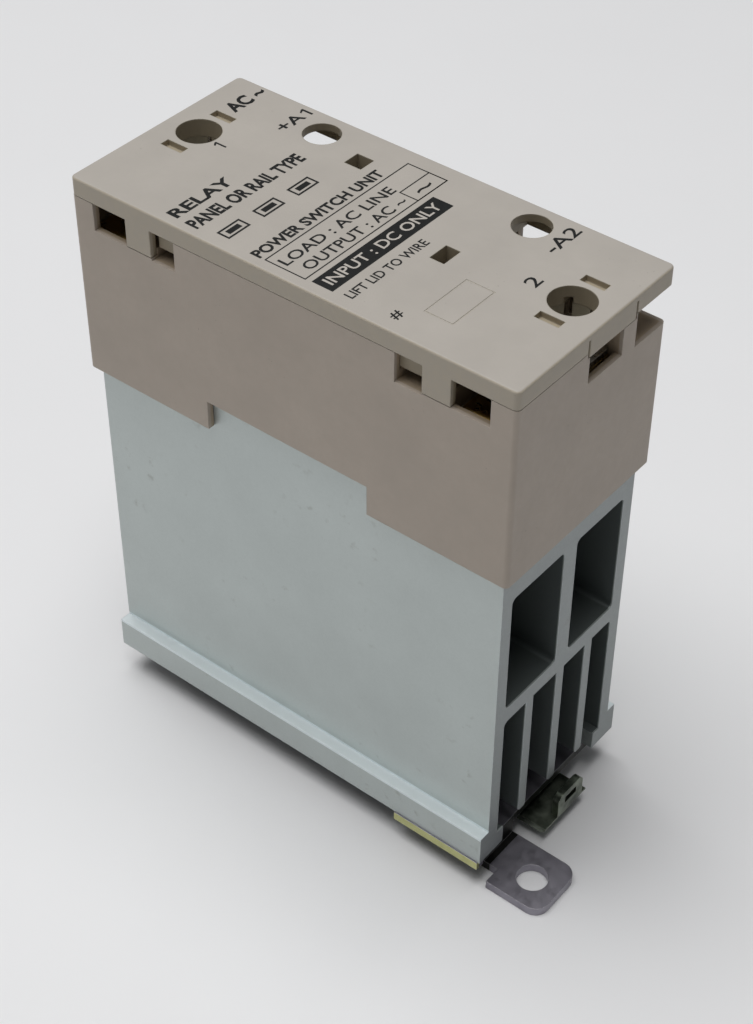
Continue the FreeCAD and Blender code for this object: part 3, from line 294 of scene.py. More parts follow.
def coated(name, shade, second, roughness, patch_mm=3.0, relief=0.02, banding=None, coat=0.0, metal=0.0):
    """A coat, laminate, ceramic or dipped skin with patches of a second shade.

    banding, where given, is (axis, start, step, shades): stripes along an axis, in metres."""
    made, tree, output, coords = start_material(name)
    rounded, edge = edges(tree, 0.1)
    patch = grain(tree, coords, patch_mm, 0.35, 0.7)
    colour = add(tree, "Mix", {0: patch, 6: linear(shade), 7: linear(second)}, data_type="RGBA")
    if banding:
        axis, start, step, shades = banding
        along = add(tree, "SeparateXYZ", {0: coords}).outputs[axis]
        for index, band in enumerate(shades):
            sockets = {0: along, 1: start + index * step, 2: step * 0.25}
            stripe = add(tree, "Math", sockets, operation="COMPARE")
            colour = add(tree, "Mix", {0: stripe, 6: colour, 7: linear(band)}, data_type="RGBA")
    # lighter edges: partly wear, partly painted highlight
    wear_and_highlight_mask = add(tree, "Math", {0: edge, 1: 0.3}, operation="MULTIPLY")
    colour = add(tree, "Mix", {0: wear_and_highlight_mask, 6: colour, 7: linear("D8D4CC")}, data_type="RGBA")
    fine = grain(tree, coords, patch_mm / 8, shift=9.0)
    gloss = grain(tree, coords, patch_mm / 8, 0.3, 0.7, roughness - 0.05, roughness + 0.06, shift=9.0)
    bump = add(tree, "Bump", {"Strength": 0.5, "Distance": relief * MM, "Height": fine, "Normal": rounded})
    sockets = {"Base Color": colour, "Roughness": gloss, "Metallic": metal, "Coat Weight": coat,
               "Normal": bump}
    shader = add(tree, "BsdfPrincipled", sockets)
    tree.links.new(shader.outputs[0], output.inputs[0])
    return made


def clear_moulded(name, shade, roughness):
    """Clear moulded plastic: light passes, with a faint tint and flow haze."""
    made, tree, output, coords = start_material(name)
    rounded = edges(tree, 0.1)[0]
    haze = grain(tree, coords, 0.8)
    share = grain(tree, coords, 0.8, 0.3, 0.7, 0.0, 0.35)
    colour = add(tree, "Mix", {0: share, 6: linear(shade), 7: linear("8E8A6A")}, data_type="RGBA")
    bump = add(tree, "Bump", {"Strength": 0.3, "Distance": 0.01 * MM, "Height": haze, "Normal": rounded})
    gloss = grain(tree, coords, 0.8, 0.3, 0.7, roughness, roughness + 0.1)
    sockets = {"Base Color": colour, "Roughness": gloss, "IOR": 1.58, "Transmission Weight": 0.6,
               "Normal": bump}
    shader = add(tree, "BsdfPrincipled", sockets)
    tree.links.new(shader.outputs[0], output.inputs[0])
    return made


def wear(material, *names):
    """Put one material in every slot of the named parts."""
    for name in names:
        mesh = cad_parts[name].data
        mesh.materials.clear()
        mesh.materials.append(material)


# ---- surfaces ------------------------------------------------------------------------------------

def mesh_piece(name, points, faces, material, slot, smooth=False):
    """A mesh object from arrays of points and faces, with its finish."""
    mesh = bpy.data.meshes.new(name)
    mesh.from_pydata(np.asarray(points).tolist(), [], [tuple(int(i) for i in face) for face in faces])
    mesh.validate()
    mesh.update()
    mesh.materials.append(material)
    if smooth:
        mesh.polygons.foreach_set("use_smooth", np.ones(len(mesh.polygons), bool))
    made = bpy.data.objects.new(name, mesh)
    bpy.context.scene.collection.objects.link(made)
    return made


def grid_faces(rows, columns):
    """Quads between neighbouring rows of a grid whose columns close on themselves."""
    row, column = np.meshgrid(np.arange(rows - 1), np.arange(columns), indexing="ij")
    ahead = (column + 1) % columns
    corners = (row * columns + column, row * columns + ahead,
               (row + 1) * columns + ahead, (row + 1) * columns + column)
    return np.stack([corner.ravel() for corner in corners], axis=1)


def tube(path, radius, sides):
    """Round tube along a path, with flat ends.

    Each ring is centre + radius (cos a * n + sin a * b), where n is the direction across the path
    nearest to the path's own axis of turning and b is the path's direction cross n."""
    along = np.gradient(path, axis=0)
    along /= np.linalg.norm(along, axis=1)[:, None]
    up = np.cross(along, np.array([1.0, 0.0, 0.0]))
    up /= np.linalg.norm(up, axis=1)[:, None]
    side = np.cross(along, up)
    angle = np.arange(sides) * 2 * np.pi / sides
    ring = up[:, None] * np.cos(angle)[None, :, None] + side[:, None] * np.sin(angle)[None, :, None]
    points = (path[:, None] + radius * ring).reshape(-1, 3)
    faces = [tuple(face) for face in grid_faces(len(path), sides)]
    faces.append(tuple(range(sides))[::-1])
    faces.append(tuple(range(len(points) - sides, len(points))))
    return points, faces


def turned(places, profile, sides):
    """Copies of one turned shape: profile rows are (radius, height), spun about an upright axis.

    Each ring is place + (r cos a, r sin a, h); rows of no radius close the shape at a point."""
    angle = np.arange(sides) * 2 * np.pi / sides
    profile = np.asarray(profile, float)
    ring = np.stack([np.cos(angle), np.sin(angle)], axis=1)
    shape = np.concatenate([profile[:, None, :1] * ring[None],
                            np.repeat(profile[:, None, 1:], sides, axis=1)], axis=2)
    shape = shape.reshape(-1, 3)
    faces = grid_faces(len(profile), sides)
    caps = [np.arange(sides)[::-1], np.arange(sides) + len(shape) - sides]
    all_faces = []
    for index in range(len(places)):
        all_faces += [tuple(face) for face in faces + index * len(shape)]
        all_faces += [tuple(cap + index * len(shape)) for cap in caps]
    points = (np.asarray(places, float)[:, None] + shape[None]).reshape(-1, 3)
    return points, all_faces


def plate_strip(outline, thick):
    """Closed flat plate: an outline of x, y, z points and the same outline thick lower."""
    top = np.asarray(outline, float)
    low = top - np.array([0.0, 0.0, thick])
    count = len(top)
    faces = [tuple(range(count)), tuple(range(2 * count - 1, count - 1, -1))]
    for index in range(count):
        ahead = (index + 1) % count
        faces.append((index, index + count, ahead + count, ahead))
    return np.concatenate([top, low]), faces


def joined(shapes):
    """Points and faces of several shapes as one."""
    points, faces, count = [], [], 0
    for shape_points, shape_faces in shapes:
        points.append(shape_points)
        faces += [tuple(int(i) + count for i in face) for face in shape_faces]
        count += len(shape_points)
    return np.concatenate(points), faces


def letters(text, length, height, weight, thick):
    """Printed text as a flat solid that reads along +Y with its tops towards -X.

    The text's box is stretched to length by height and starts at the origin."""
    curve = bpy.data.curves.new("text", "FONT")
    curve.body = text
    curve.resolution_u = 3
    curve.offset = weight
    curve.extrude = 0.01
    carrier = bpy.data.objects.new("text", curve)
    bpy.context.scene.collection.objects.link(carrier)
    graph = bpy.context.evaluated_depsgraph_get()
    mesh = bpy.data.meshes.new_from_object(carrier.evaluated_get(graph))
    flat = np.empty(len(mesh.vertices) * 3)
    mesh.vertices.foreach_get("co", flat)
    flat = flat.reshape(-1, 3)
    faces = [tuple(polygon.vertices) for polygon in mesh.polygons]
    bpy.data.objects.remove(carrier)
    bpy.data.curves.remove(curve)
    bpy.data.meshes.remove(mesh)
    low, high = flat.min(0), flat.max(0)
    along, up, out = ((flat - low) / (high - low) * np.array([length, height, thick])).T
    return np.stack([-up, along, out], axis=1), faces


# ---- settings ------------------------------------------------------------------------------------

def colour_setting(label, text, shade):
    """A colour property with an sRGB default."""
    return bpy.props.FloatVectorProperty(
        name=label, description=text, subtype="COLOR", size=4, min=0.0, max=1.0, default=linear(shade))


def length_setting(label, text, size_mm):
    """A length property with its default in millimetres."""
    return bpy.props.FloatProperty(
        name=label, description=text, default=size_mm * MM, min=0.0, unit="LENGTH", subtype="DISTANCE")


class RelayPrinting(bpy.types.PropertyGroup):
    """Sizes of the printing on the lid."""
    line: length_setting("Line width", "Width of the ruled frames", 0.22)
    film: length_setting("Ink thickness", "Thickness of the ink film", 0.012)
    weight: bpy.props.FloatProperty(
        name="Letter weight", description="How much the letters are thickened",
        default=0.012, min=0.0, max=0.05)


class RelaySleeves(bpy.types.PropertyGroup):
    """Sizes of the screwdriver guides under the lid."""
    radius: length_setting("Inner radius", "Inner radius of a guide", 3.5)
    wall: length_setting("Wall", "Wall thickness of a guide", 0.18)
    start: length_setting("Start", "Depth below the lid's face where a guide starts", 2.9)
    end: length_setting("End", "Depth below the lid's face where a guide ends", 5.7)


class RelaySpring(bpy.types.PropertyGroup):
    """Sizes of the latch spring."""
    wire: length_setting("Wire diameter", "Diameter of the spring wire", 0.56)
    turns: bpy.props.IntProperty(
        name="Turns", description="Number of working turns", default=8, min=3, max=20)


class RelayStudio(bpy.types.PropertyGroup):
    """The table, the lights and the lens."""
    table_colour: colour_setting("Table colour", "Colour of the table", "EDEDEE")
    key: bpy.props.FloatProperty(
        name="Key light", description="Power of the soft box overhead", default=15.2, min=0.0, unit="POWER")
    fill: bpy.props.FloatProperty(
        name="Fill light", description="Strength of the light from all round", default=0.12, min=0.0)
    lens: bpy.props.FloatProperty(
        name="Focal length", description="Focal length of the lens in mm on a 36 mm sensor",
        default=72.0, min=20.0, max=200.0)


# ---- operators: finishes -------------------------------------------------------------------------

class RELAY_OT_finish_case(bpy.types.Operator):
    """Moulded finishes of the housing, the lid and the light pipe"""
    bl_idname = "relay.finish_case"
    bl_label = "Finish case"

    def execute(self, context):
        # glass-filled polyester, moulded in a spark-eroded tool: matt warm grey, with painted shade that
        # makes it browner inside the housing and down the lid's holes. The lid's upright faces are painted
        # warmer than its top as painted light, and its wide yellowish edge rims are partly wear, partly
        # painted highlight
        rooms = []
        for name in ("housing", "terminal_cover"):
            low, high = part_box(name)
            rooms.append((low + Vector((0.6, 0.6, -1.0)) * MM, high - Vector((0.6, 0.6, 0.1)) * MM))
        case = moulded("moulded_polyester_case", "B2A699", 0.52, specks=0.3,
                       painted_hollow_shade=(rooms[0], (0.85, 0.79, 0.68)))
        lid = moulded("moulded_polyester_lid", "AEA8A0", 0.50, specks=0.2, edge_wear_and_highlight="C6BDA0", edge_mm=0.3,
                      painted_hollow_shade=(rooms[1], (0.80, 0.73, 0.58)), sides="B0A695")
        wear(case, "housing")
        wear(lid, "terminal_cover")
        # polycarbonate, moulded and polished
        wear(clear_moulded("moulded_polycarbonate", "4A4630", 0.15), "light_pipe")
        return {"FINISHED"}


class RELAY_OT_finish_heat_sink(bpy.types.Operator):
    """Anodised finish of the heat sink"""
    bl_idname = "relay.finish_heat_sink"
    bl_label = "Finish heat sink"

    def execute(self, context):
        low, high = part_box("heat_sink")
        # painted shade in the channels, which start this far in from the cut ends and from the outer walls
        channels = (low + Vector((0.25, 2.5, 3.5)) * MM, high - Vector((0.25, 2.5, 1.0)) * MM)
        # painted highlight along the tops of the two foot ledges
        ledge, ledge_top = 2.3 * MM, low.z + 5.7 * MM
        near = ((low.x, low.y - ledge, ledge_top - 0.4 * MM), (high.x, low.y + ledge, ledge_top + 0.4 * MM))
        far = ((low.x, high.y - ledge, ledge_top - 0.4 * MM), (high.x, high.y + ledge, ledge_top + 0.4 * MM))
        rooms = [(channels, "747B7A"), (near, "E6EEF0"), (far, "E6EEF0")]
        wear(extruded("extruded_aluminium_satin", "BAC1BF", "989D9D", rooms, 0.48), "heat_sink")
        return {"FINISHED"}


class RELAY_OT_finish_base(bpy.types.Operator):
    """Plated finishes of the folded base, its screws and the rail latch"""
    bl_idname = "relay.finish_base"
    bl_label = "Finish base"

    def execute(self, context):
        # folded mild steel, zinc plated and passivated: violet grey tabs and base, and side wings
        # where the passivation dried yellow; the base under the heat sink is painted near black as shade
        low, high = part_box("mounting_bracket")
        sink_low, sink_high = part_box("heat_sink")
        out = 3 * MM
        lip = 0.4 * MM
        wings = [((sink_low.x, sink_high.y - lip, low.z), (sink_high.x, high.y + out, high.z)),
                 ((sink_low.x, low.y - out, low.z), (sink_high.x, sink_low.y + lip, high.z))]
        # painted shade: the base under the heat sink, where its shadow falls, is near black
        under = ((sink_low.x + 0.5 * MM, sink_low.y, low.z), (sink_high.x - 0.5 * MM, sink_high.y, high.z))
        rooms = [(under, "3C3C3A")] + [(wing, "C6C68F") for wing in wings]
        wear(plated("zinc_plated_steel_passivated", "A9A6AF", "84818A", 0.42, "E4E1E3", rooms=rooms),
             "mounting_bracket")
        # spring steel, oil blackened: dark green grey, with bright edges that are partly wear and partly
        # painted highlight
        wear(plated("oil_blackened_spring_steel", "8F9788", "454B42", 0.34, "D2D9C6", tint_mm=4.0),
             "din_latch")
        wear(plated("zinc_plated_screw", "B9B7A8", "A3A0A0", 0.35, "E0DED4"),
             "bracket_screws", "housing_screws")
        return {"FINISHED"}


class RELAY_OT_finish_terminals(bpy.types.Operator):
    """Metal finishes of the terminal bars, nuts, washers and screws"""
    bl_idname = "relay.finish_terminals"
    bl_label = "Finish terminals"

    def execute(self, context):
        # rolled brass strip, tinned thinly, so the brass shows through
        brass = plated("rolled_brass", "B99C5E", "A58A58", 0.30, "E4CF95", lines=(0.3, 6.0, 0.3))
        wear(brass, "load_bar_1", "load_bar_2", "input_plate_a1", "input_plate_a2")
        wear(plated("zinc_plated_nut", "B8B8AE", "9C9CA0", 0.32, "E4E4DE"), "load_nuts", "input_nuts")
        wear(plated("nickel_plated_washer", "C2C0B6", "A8A6A0", 0.28, "EDEBE4"),
             "load_washer_1", "load_washer_2", "input_washer_a1", "input_washer_a2")
        for kind, pitch, labels in (("load", 0.7, ("1", "2")), ("input", 0.6, ("a1", "a2"))):
            for label in labels:
                washer_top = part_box(kind + "_washer_" + label)[1].z
                screw = plated("nickel_plated_screw_" + label, "C4C2BA", "A9A7A2", 0.24, "F0EEE8",
                               thread=(pitch, washer_top))
                wear(screw, kind + "_screw_" + label)
        return {"FINISHED"}


class RELAY_OT_finish_module(bpy.types.Operator):
    """Finishes of the power module under the terminals"""
    bl_idname = "relay.finish_module"
    bl_label = "Finish power module"

    def execute(self, context):
        wear(moulded("moulded_epoxy", "2A2A2B", 0.45, edge_wear_and_highlight="5A5A5C", mottle=0.15), "module_case")
        wear(plated("nickel_plated_copper", "C7B8A4", "B98F73", 0.30, "EAD9C6"), "module_base_plate")
        wear(plated("tinned_copper", "C9C6BE", "B4AFA6", 0.35, "ECE9E2", tint_mm=3.0),
             "module_posts", "gate_pins")
        # alumina, pressed and fired: white with a faint grey bloom
        wear(coated("fired_alumina", "E6E2DA", "D6D3CB", 0.55), "ceramic_substrate")
        wear(coated("diffused_silicon", "4C4F57", "3A3D45", 0.18, patch_mm=2.0, relief=0.002, metal=0.6),
             "thyristor_chips")
        # silicone sheet filled with ceramic powder, rolled
        wear(coated("rolled_silicone_pad", "B9BDC4", "A9ADB6", 0.75, patch_mm=1.6), "thermal_sheet")
        wear(plated("zinc_plated_machine_screw", "BDBBB0", "A7A5A1", 0.32, "E6E4DC"),
             "module_screws", "bar_screws", "board_screws")
        return {"FINISHED"}


class RELAY_OT_finish_board(bpy.types.Operator):
    """Finishes of the circuit board and its components"""
    bl_idname = "relay.finish_board"
    bl_label = "Finish circuit board"

    def execute(self, context):
        # glass-epoxy laminate with green solder resist over woven glass of about 0.5 mm
        wear(coated("glass_epoxy_laminate", "2E5A3C", "28503A", 0.35, patch_mm=4.0, coat=0.3),
             "circuit_board")
        wear(moulded("transfer_moulded_coupler", "EDEAE2", 0.45, edge_wear_and_highlight="F6F4EE"), "photocoupler")
        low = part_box("snubber_capacitor")[0]
        stripe = (0, low.x + 1.2 * MM, 2.0 * MM, ("F0EEE6",))
        wear(coated("potted_film_capacitor", "C9A23A", "BD9636", 0.40, banding=stripe), "snubber_capacitor")
        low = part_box("filter_capacitor")[0]
        sleeve = (0, low.x + 0.7 * MM, 2.0 * MM, ("C9CCD2",))
        wear(coated("shrunk_sleeve", "2B3350", "252C46", 0.30, banding=sleeve), "filter_capacitor")
        wear(coated("dipped_epoxy_varistor", "2F5D8C", "2A547F", 0.35, coat=0.4), "varistor")
        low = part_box("resistors")[0]
        bands = (0, low.x + 2.0 * MM, 0.9 * MM, ("7A3B1E", "1A1A1A", "B02A22", "B8923A"))
        wear(coated("lacquered_resistor", "D9C7A0", "CDBB94", 0.40, banding=bands), "resistors")
        wear(clear_moulded("cast_red_epoxy", "B5241C", 0.12), "indicator_led")
        return {"FINISHED"}


# ---- operators: new pieces -----------------------------------------------------------------------

INK_LINES = (
    # text, x of the foot of the letters, y where it starts and ends, height in mm, and boldness
    ("RELAY", -20.4, -16.6, -4.4, 2.3, 2.6),
    ("PANEL OR RAIL TYPE", -16.4, -16.8, 6.8, 2.6, 3.2),
    ("POWER SWITCH UNIT", -4.95, -16.6, 10.9, 2.05, 3.0),
    ("LOAD : AC LINE", -0.9, -15.6, 8.5, 2.0, 1.2),
    ("OUTPUT : AC ~", 2.2, -14.4, 7.4, 2.0, 1.2),
    ("LIFT LID TO WIRE", 10.8, -15.9, 1.15, 1.65, 1.4),
    ("#", 18.4, -15.9, -14.0, 1.7, 1.2),
    ("2", 28.3, 1.6, 3.7, 2.3, 0.8),
    ("+A", -23.9, 10.4, 15.6, 2.2, 1.4),
    ("-A2", 25.6, 9.9, 16.8, 2.3, 1.0),
    ("AC ~", -33.1, 9.8, 17.5, 2.8, 3.2),
    ("~", 1.9, 10.0, 13.2, 0.7, 1.2),
)
INK_ONES = (
    # x of the foot, y where it starts and ends, height in mm
    (-27.7, 0.95, 1.85, 2.2),
    (-23.9, 16.0, 17.1, 2.2),
)
ONE_OUTLINE = ((0.62, 0.0), (1.0, 0.0), (1.0, 1.0), (0.66, 1.0), (0.0, 0.80), (0.0, 0.66), (0.62, 0.80))
BAR_LINE = ("INPUT : DC ONLY", 6.75, -15.2, 9.4, 2.0, 1.2)
RATING_FRAME = (-4.36, 3.03, -16.5, 15.3)
SMALL_FRAME = (-0.5, 3.03, 8.3, 15.3)
INPUT_BAR = (3.95, 7.65, -16.3, 10.55)
MARK_SQUARES = ((-12.6, -15.8), (-12.4, -8.6), (-12.2, -1.4))
MARK_SIZE = (2.4, 4.6)
MARK_LINE = 1.6                  # width of a square's outline, in ruled lines
MARK_CORE = (0.5, 1.0)           # half width of the bar inside a square, and its gap at each end
SLEEVE_GAPS = ((72, 0.6), (131, 1.1))    # angle in degrees and width in mm, mirrored at terminal 1
EASE_TURNS = 0.6                 # the closed turn at each end of the spring lasts this many turns
COIL_STEPS = 24                  # steps in one turn of the spring
LEADS = (("gate_pins", 4), ("photocoupler", 3), ("varistor", 2), ("indicator_led", 2))
FILLET = ((0.95, 0.0), (0.80, -0.08), (0.45, -0.30), (0.30, -0.62), (0.16, -0.80))


def numeral_one(foot, start, end, height, level, thick):
    """A printed 1 with a flag: its outline is scaled to its length and height, and laid flat."""
    across, up = np.array(ONE_OUTLINE).T
    top = np.full(len(up), level + thick)
    line = np.stack([(foot - up * height) * MM, (start + across * (end - start)) * MM, top], axis=1)
    return plate_strip(line, thick)


def ruled(frame_mm, line, level, thick):
    """Four thin strips along the sides of a rectangle given in millimetres."""
    x0, x1, y0, y1 = (value * MM for value in frame_mm)
    sides = ((x0, x1, y0, y0 + line), (x0, x1, y1 - line, y1), (x0, x0 + line, y0 + line, y1 - line),
             (x1 - line, x1, y0 + line, y1 - line))
    return [flat_bar(*side, level, thick) for side in sides]


def flat_bar(x0, x1, y0, y1, level, thick):
    """A thin flat block whose top is thick above the level."""
    top = level + thick
    return plate_strip(((x0, y0, top), (x1, y0, top), (x1, y1, top), (x0, y1, top)), thick)


def sleeve(middle, inner, outer, top, low, gaps, steps=96):
    """Tube below the lid with upright gaps in its wall, made of arcs between the gaps.

    Each arc's section is a rectangle between two radii and two heights, carried round the angles
    from one gap's end to the next gap's start; gaps are pairs of angles in rising order."""
    shapes = []
    for index, gap in enumerate(gaps):
        end, after = gap[1], gaps[(index + 1) % len(gaps)][0]
        sweep = (after - end) % (2 * np.pi)
        count = max(3, int(steps * sweep / (2 * np.pi)))
        angle = end + np.linspace(0.0, sweep, count)
        around = np.stack([np.cos(angle), np.sin(angle)], axis=1)
        corners = np.array([(inner, top), (inner, low), (outer, low), (outer, top)])
        flat = around[:, None] * corners[None, :, :1] + np.array(middle)
        height = np.broadcast_to(corners[None, :, 1:], flat.shape[:2] + (1,))
        points = np.concatenate([flat, height], axis=2).reshape(-1, 3)
        faces = [tuple(face) for face in grid_faces(count, 4)]
        faces += [(3, 2, 1, 0), tuple(4 * count - 4 + corner for corner in range(4))]
        shapes.append((points, faces))
    return joined(shapes)


class RELAY_OT_sleeve_lid(bpy.types.Operator):
    """Screwdriver guide sleeves under the two load holes of the lid"""
    bl_idname = "relay.sleeve_lid"
    bl_label = "Sleeve lid"

    def execute(self, context):
        # moulded in one with the lid in the same polyester; painted darker and browner as shade down in the
        # hole, as the lid's other hollows are
        skin = moulded("moulded_polyester_sleeve", "938B78", 0.5, edge_wear_and_highlight="9E9683")
        sizes = context.scene.relay_sleeves
        shapes = []
        for label, side in (("1", -1), ("2", 1)):
            low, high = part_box("load_screw_" + label)
            middle = ((low.x + high.x) / 2, (low.y + high.y) / 2)
            top, bottom = LID_TOP - sizes.start, LID_TOP - sizes.end
            gaps = []
            for degrees, wide in SLEEVE_GAPS:
                angle = math.radians(degrees)
                angle = angle if side > 0 else math.pi - angle
                half = wide * MM / sizes.radius / 2
                gaps.append((angle - half, angle + half))
            shape = sleeve(middle, sizes.radius, sizes.radius + sizes.wall, top, bottom, sorted(gaps))
            shapes.append(shape)
        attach(mesh_piece("lid_guide_sleeves", *joined(shapes), skin, "cover_resin"), "cover")
        return {"FINISHED"}


class RELAY_OT_print_lid(bpy.types.Operator):
    """Pad-printed terminal marks, frames and plain wording on the lid"""
    bl_idname = "relay.print_lid"
    bl_label = "Print lid"

    def execute(self, context):
        sizes = context.scene.relay_printing
        level = LID_TOP
        # pad-printed two-part ink: near black, thin, with a slightly glossier skin than the lid
        black = coated("pad_printed_black_ink", "0B0C0C", "141615", 0.42, patch_mm=0.9, relief=0.004)
        # the bar's letters are bare lid plastic
        bare = coated("bare_lid_plastic", "B4AEA6", "BAB4AC", 0.5, patch_mm=0.9, relief=0.004)
        shapes = []
        for text, foot, start, end, height, boldness in INK_LINES:
            weight = sizes.weight * boldness
            points, faces = letters(text, (end - start) * MM, height * MM, weight, sizes.film)
            shapes.append((points + np.array([foot * MM, start * MM, level]), faces))
        for foot, start, end, height in INK_ONES:
            shapes.append(numeral_one(foot, start, end, height, level, sizes.film))
        shapes += ruled(RATING_FRAME, sizes.line, level, sizes.film)
        shapes += ruled(SMALL_FRAME, sizes.line, level, sizes.film)
        x0, x1, y0, y1 = (value * MM for value in INPUT_BAR)
        shapes.append(flat_bar(x0, x1, y0, y1, level, sizes.film))
        for x, y in MARK_SQUARES:
            frame_mm = (x - MARK_SIZE[0] / 2, x + MARK_SIZE[0] / 2, y, y + MARK_SIZE[1])
            shapes += ruled(frame_mm, MARK_LINE * sizes.line, level, sizes.film)
            half, gap = MARK_CORE
            core = ((x - half) * MM, (x + half) * MM, (y + gap) * MM, (y + MARK_SIZE[1] - gap) * MM)
            shapes.append(flat_bar(*core, level, sizes.film))
        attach(mesh_piece("lid_printing", *joined(shapes), black, "black_resin"), "cover")
        text, foot, start, end, height, boldness = BAR_LINE
        weight = sizes.weight * boldness
        points, faces = letters(text, (end - start) * MM, height * MM, weight, sizes.film)
        place = np.array([foot * MM, start * MM, level + sizes.film])
        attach(mesh_piece("lid_bar_letters", points + place, faces, bare, "cover_resin"), "cover")
        return {"FINISHED"}


class RELAY_OT_wind_spring(bpy.types.Operator):
    """Coil spring of the rail latch, with closed ends"""
    bl_idname = "relay.wind_spring"
    bl_label = "Wind latch spring"

    def execute(self, context):
        sizes = context.scene.relay_spring
        low, high = SPRING_LOW, SPRING_HIGH
        wire = sizes.wire / 2
        radius = (high.y - low.y) / 2 - wire
        start, end = low.x + wire, high.x - wire
        # the ends are closed: over the first and the last EASE_TURNS the wire rises by just its own
        # diameter, and the lead of the working turns lies between them
        rounds = sizes.turns + 2
        turn = np.linspace(0.0, rounds, COIL_STEPS * rounds + 1)
        angle = turn * 2 * np.pi
        lead = np.clip((turn - EASE_TURNS) / (rounds - 2 * EASE_TURNS), 0.0, 1.0)
        closed = sizes.wire * np.clip(turn, 0, EASE_TURNS) / EASE_TURNS
        opened = sizes.wire * np.clip(turn - rounds + EASE_TURNS, 0, EASE_TURNS) / EASE_TURNS
        along = start + closed + opened + lead * (end - start - 2 * sizes.wire)
        middle_y, middle_z = (low.y + high.y) / 2, (low.z + high.z) / 2
        path = np.stack([along, middle_y + radius * np.cos(angle), middle_z + radius * np.sin(angle)], axis=1)
        # hard-drawn spring wire: bright, with fine lines drawn along it
        bright = plated("hard_drawn_spring_wire", "B9BBB8", "8E908E", 0.25, "E6E8E4", tint_mm=4.0)
        points, faces = tube(path, wire, 10)
        made = mesh_piece("latch_coil", points, faces, bright, "spring_wire", smooth=True)
        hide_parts("latch_spring")
        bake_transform(made)
        return {"FINISHED"}


class RELAY_OT_solder_board(bpy.types.Operator):
    """Solder fillets round the leads, under the circuit board"""
    bl_idname = "relay.solder_board"
    bl_label = "Solder board"

    def execute(self, context):
        leads = []
        for name, columns in LEADS:
            low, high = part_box(name)
            for index in range(columns):
                share = (index + 0.5) / columns
                leads.append((low.x + share * (high.x - low.x), (low.y + high.y) / 2))
        level = BOARD_LOW.z
        shapes = turned([(x, y, level) for x, y in leads], np.array(FILLET[::-1]) * MM, 12)
        # tin solder, flowed: bright and rounded, with a faint frost
        tin = plated("flowed_tin_solder", "C6C8CA", "AEB0B4", 0.22, "F0F2F4", tint_mm=0.8)
        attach(mesh_piece("board_solder", *shapes, tin, "machine_screw_steel", smooth=True), "relay")
        return {"FINISHED"}


# ---- operator: studio ----------------------------------------------------------------------------

# the camera looks at a point inside the relay, from an angle round it, an angle above it and a
# distance, and leans a little to one side
CAMERA_AIM = Vector((3.86, 3.01, 45.81)) * MM
CAMERA_AROUND = math.radians(-52.06)     # from +X towards +Y
CAMERA_ABOVE = math.radians(41.67)
CAMERA_AWAY = 323.81 * MM
CAMERA_ROLL = math.radians(0.78)
CAMERA_SHIFT = (-0.0189, -0.0044)
TABLE_HALF = 2.5
TABLE_GAP = 0.02 * MM            # from the relay's lowest face down to the table
LIGHTS_AIM = Vector((0, 0, 0.05))
SIDE_SHARE = 0.08                # power of the side light, as a share of the key light


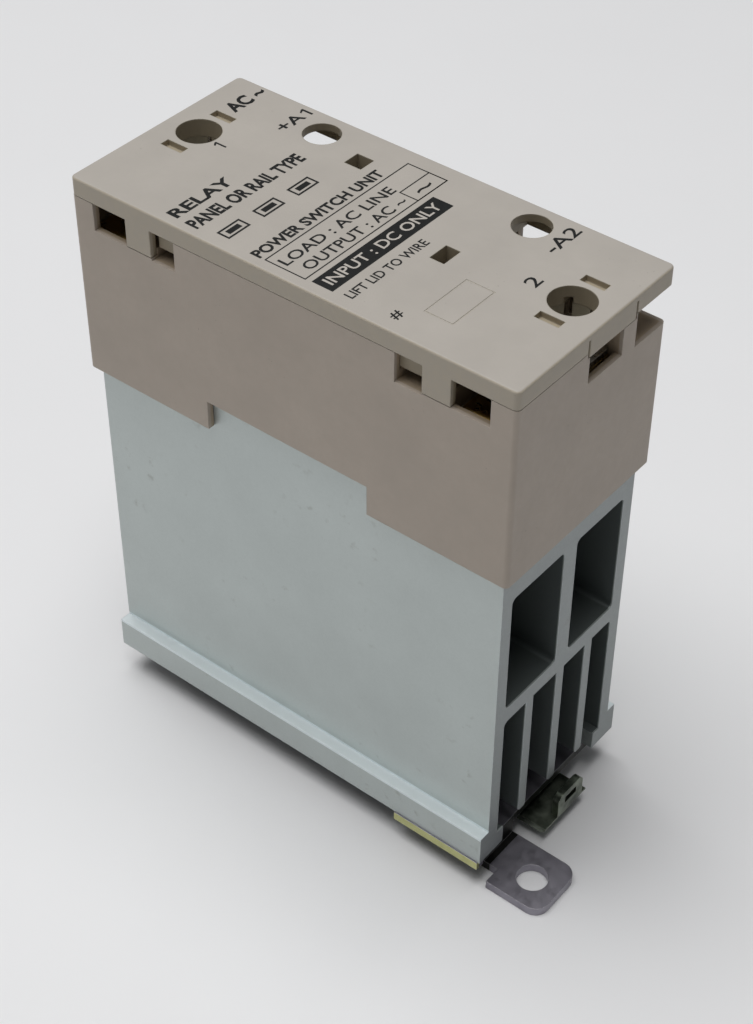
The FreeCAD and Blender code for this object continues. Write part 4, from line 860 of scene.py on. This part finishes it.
class RELAY_OT_set_studio(bpy.types.Operator):
    """Pale table, soft lights and the camera"""
    bl_idname = "relay.set_studio"
    bl_label = "Set studio"

    def execute(self, context):
        sizes = context.scene.relay_studio
        self.lay_table(context, sizes)
        self.hang_lights(context, sizes)
        self.place_camera(context, sizes)
        return {"FINISHED"}

    def lay_table(self, context, sizes):
        """Flat table under the relay, a hair below its lowest face."""
        made, tree, output, coords = start_material("laminate_table")
        base = tuple(sizes.table_colour)
        soft = grain(tree, coords, 60.0, 0.3, 0.7)
        colour = add(tree, "Mix", {0: soft, 6: base, 7: scaled(base, 0.985)}, data_type="RGBA")
        shader = add(tree, "BsdfPrincipled",
                     {"Base Color": colour, "Roughness": 0.6, "Specular IOR Level": 0.3})
        tree.links.new(shader.outputs[0], output.inputs[0])
        level = REST_BOX[0][2] - TABLE_GAP
        half = TABLE_HALF
        mesh = bpy.data.meshes.new("table")
        corners = [(-half, -half, level), (half, -half, level), (half, half, level), (-half, half, level)]
        mesh.from_pydata(corners, [], [(0, 1, 2, 3)])
        mesh.materials.append(made)
        table = bpy.data.objects.new("table", mesh)
        context.scene.collection.objects.link(table)

    def hang_lights(self, context, sizes):
        """A soft box overhead, a weak one at the side, and an even pale surround."""
        for name, place, size, power in (
                ("overhead", (-0.16, -0.06, 1.28), 1.0, sizes.key),
                ("side", (-1.1, -0.6, 1.1), 0.8, sizes.key * SIDE_SHARE)):
            lamp = bpy.data.lights.new(name, "AREA")
            lamp.energy = power
            lamp.size = size
            made = bpy.data.objects.new(name, lamp)
            made.location = place
            made.rotation_euler = (LIGHTS_AIM - Vector(place)).to_track_quat("-Z", "Y").to_euler()
            context.scene.collection.objects.link(made)
        world = bpy.data.worlds.new("surround")
        world.use_nodes = True
        shade = world.node_tree.nodes["Background"]
        shade.inputs[0].default_value = linear("F4F6F8")
        shade.inputs[1].default_value = sizes.fill
        context.scene.world = world

    def place_camera(self, context, sizes):
        """Lens above the end of load terminal 2, looking down along the relay."""
        lens = bpy.data.cameras.new("camera")
        lens.lens = sizes.lens
        lens.sensor_width = 36.0
        lens.shift_x, lens.shift_y = CAMERA_SHIFT
        lens.clip_start, lens.clip_end = 0.01, 20.0
        flat = Vector((math.cos(CAMERA_AROUND), math.sin(CAMERA_AROUND), 0.0))
        back = flat * math.cos(CAMERA_ABOVE) + Vector((0.0, 0.0, math.sin(CAMERA_ABOVE)))
        level = Vector((-flat.y, flat.x, 0.0))
        right = level * math.cos(CAMERA_ROLL) + back.cross(level) * math.sin(CAMERA_ROLL)
        turn = Matrix((right, back.cross(right), back)).transposed().to_4x4()
        made = bpy.data.objects.new("camera", lens)
        made.matrix_world = Matrix.Translation(CAMERA_AIM + back * CAMERA_AWAY) @ turn
        context.scene.collection.objects.link(made)
        context.scene.camera = made
        context.scene.view_settings.view_transform = "Standard"


# ---- panel and start -----------------------------------------------------------------------------

class RELAY_PT_panel(bpy.types.Panel):
    """Sidebar panel of the relay"""
    bl_idname = "RELAY_PT_panel"
    bl_label = "Solid State Relay"
    bl_space_type = "VIEW_3D"
    bl_region_type = "UI"
    bl_category = "Relay"

    def draw(self, context):
        column = self.layout.column()
        for operator in OPERATORS:
            column.operator(operator.bl_idname)
        for setting, _ in SETTINGS:
            settings = getattr(context.scene, setting)
            for name in settings.bl_rna.properties.keys():
                if name not in ("rna_type", "name"):
                    column.prop(settings, name)


OPERATORS = (
    RELAY_OT_set_studio,
    RELAY_OT_finish_case,
    RELAY_OT_finish_heat_sink,
    RELAY_OT_finish_base,
    RELAY_OT_finish_terminals,
    RELAY_OT_finish_module,
    RELAY_OT_finish_board,
    RELAY_OT_sleeve_lid,
    RELAY_OT_print_lid,
    RELAY_OT_wind_spring,
    RELAY_OT_solder_board,
)
SETTINGS = (
    ("relay_printing", RelayPrinting),
    ("relay_sleeves", RelaySleeves),
    ("relay_spring", RelaySpring),
    ("relay_studio", RelayStudio),
)


def register():
    """Add the settings, the operators and the panel."""
    for name, group in SETTINGS:
        bpy.utils.register_class(group)
        setattr(bpy.types.Scene, name, bpy.props.PointerProperty(type=group))
    for item in OPERATORS + (RELAY_PT_panel,):
        bpy.utils.register_class(item)


def unregister():
    """Take them away again, last first."""
    for item in reversed(OPERATORS + (RELAY_PT_panel,)):
        bpy.utils.unregister_class(item)
    for name, group in reversed(SETTINGS):
        delattr(bpy.types.Scene, name)
        bpy.utils.unregister_class(group)


def main():
    """Make everything: add the settings, the operators and the panel, then run each operator."""
    register()
    for operator in OPERATORS:
        group, name = operator.bl_idname.split(".")
        getattr(getattr(bpy.ops, group), name)()


if __name__ == "__main__":
    main()
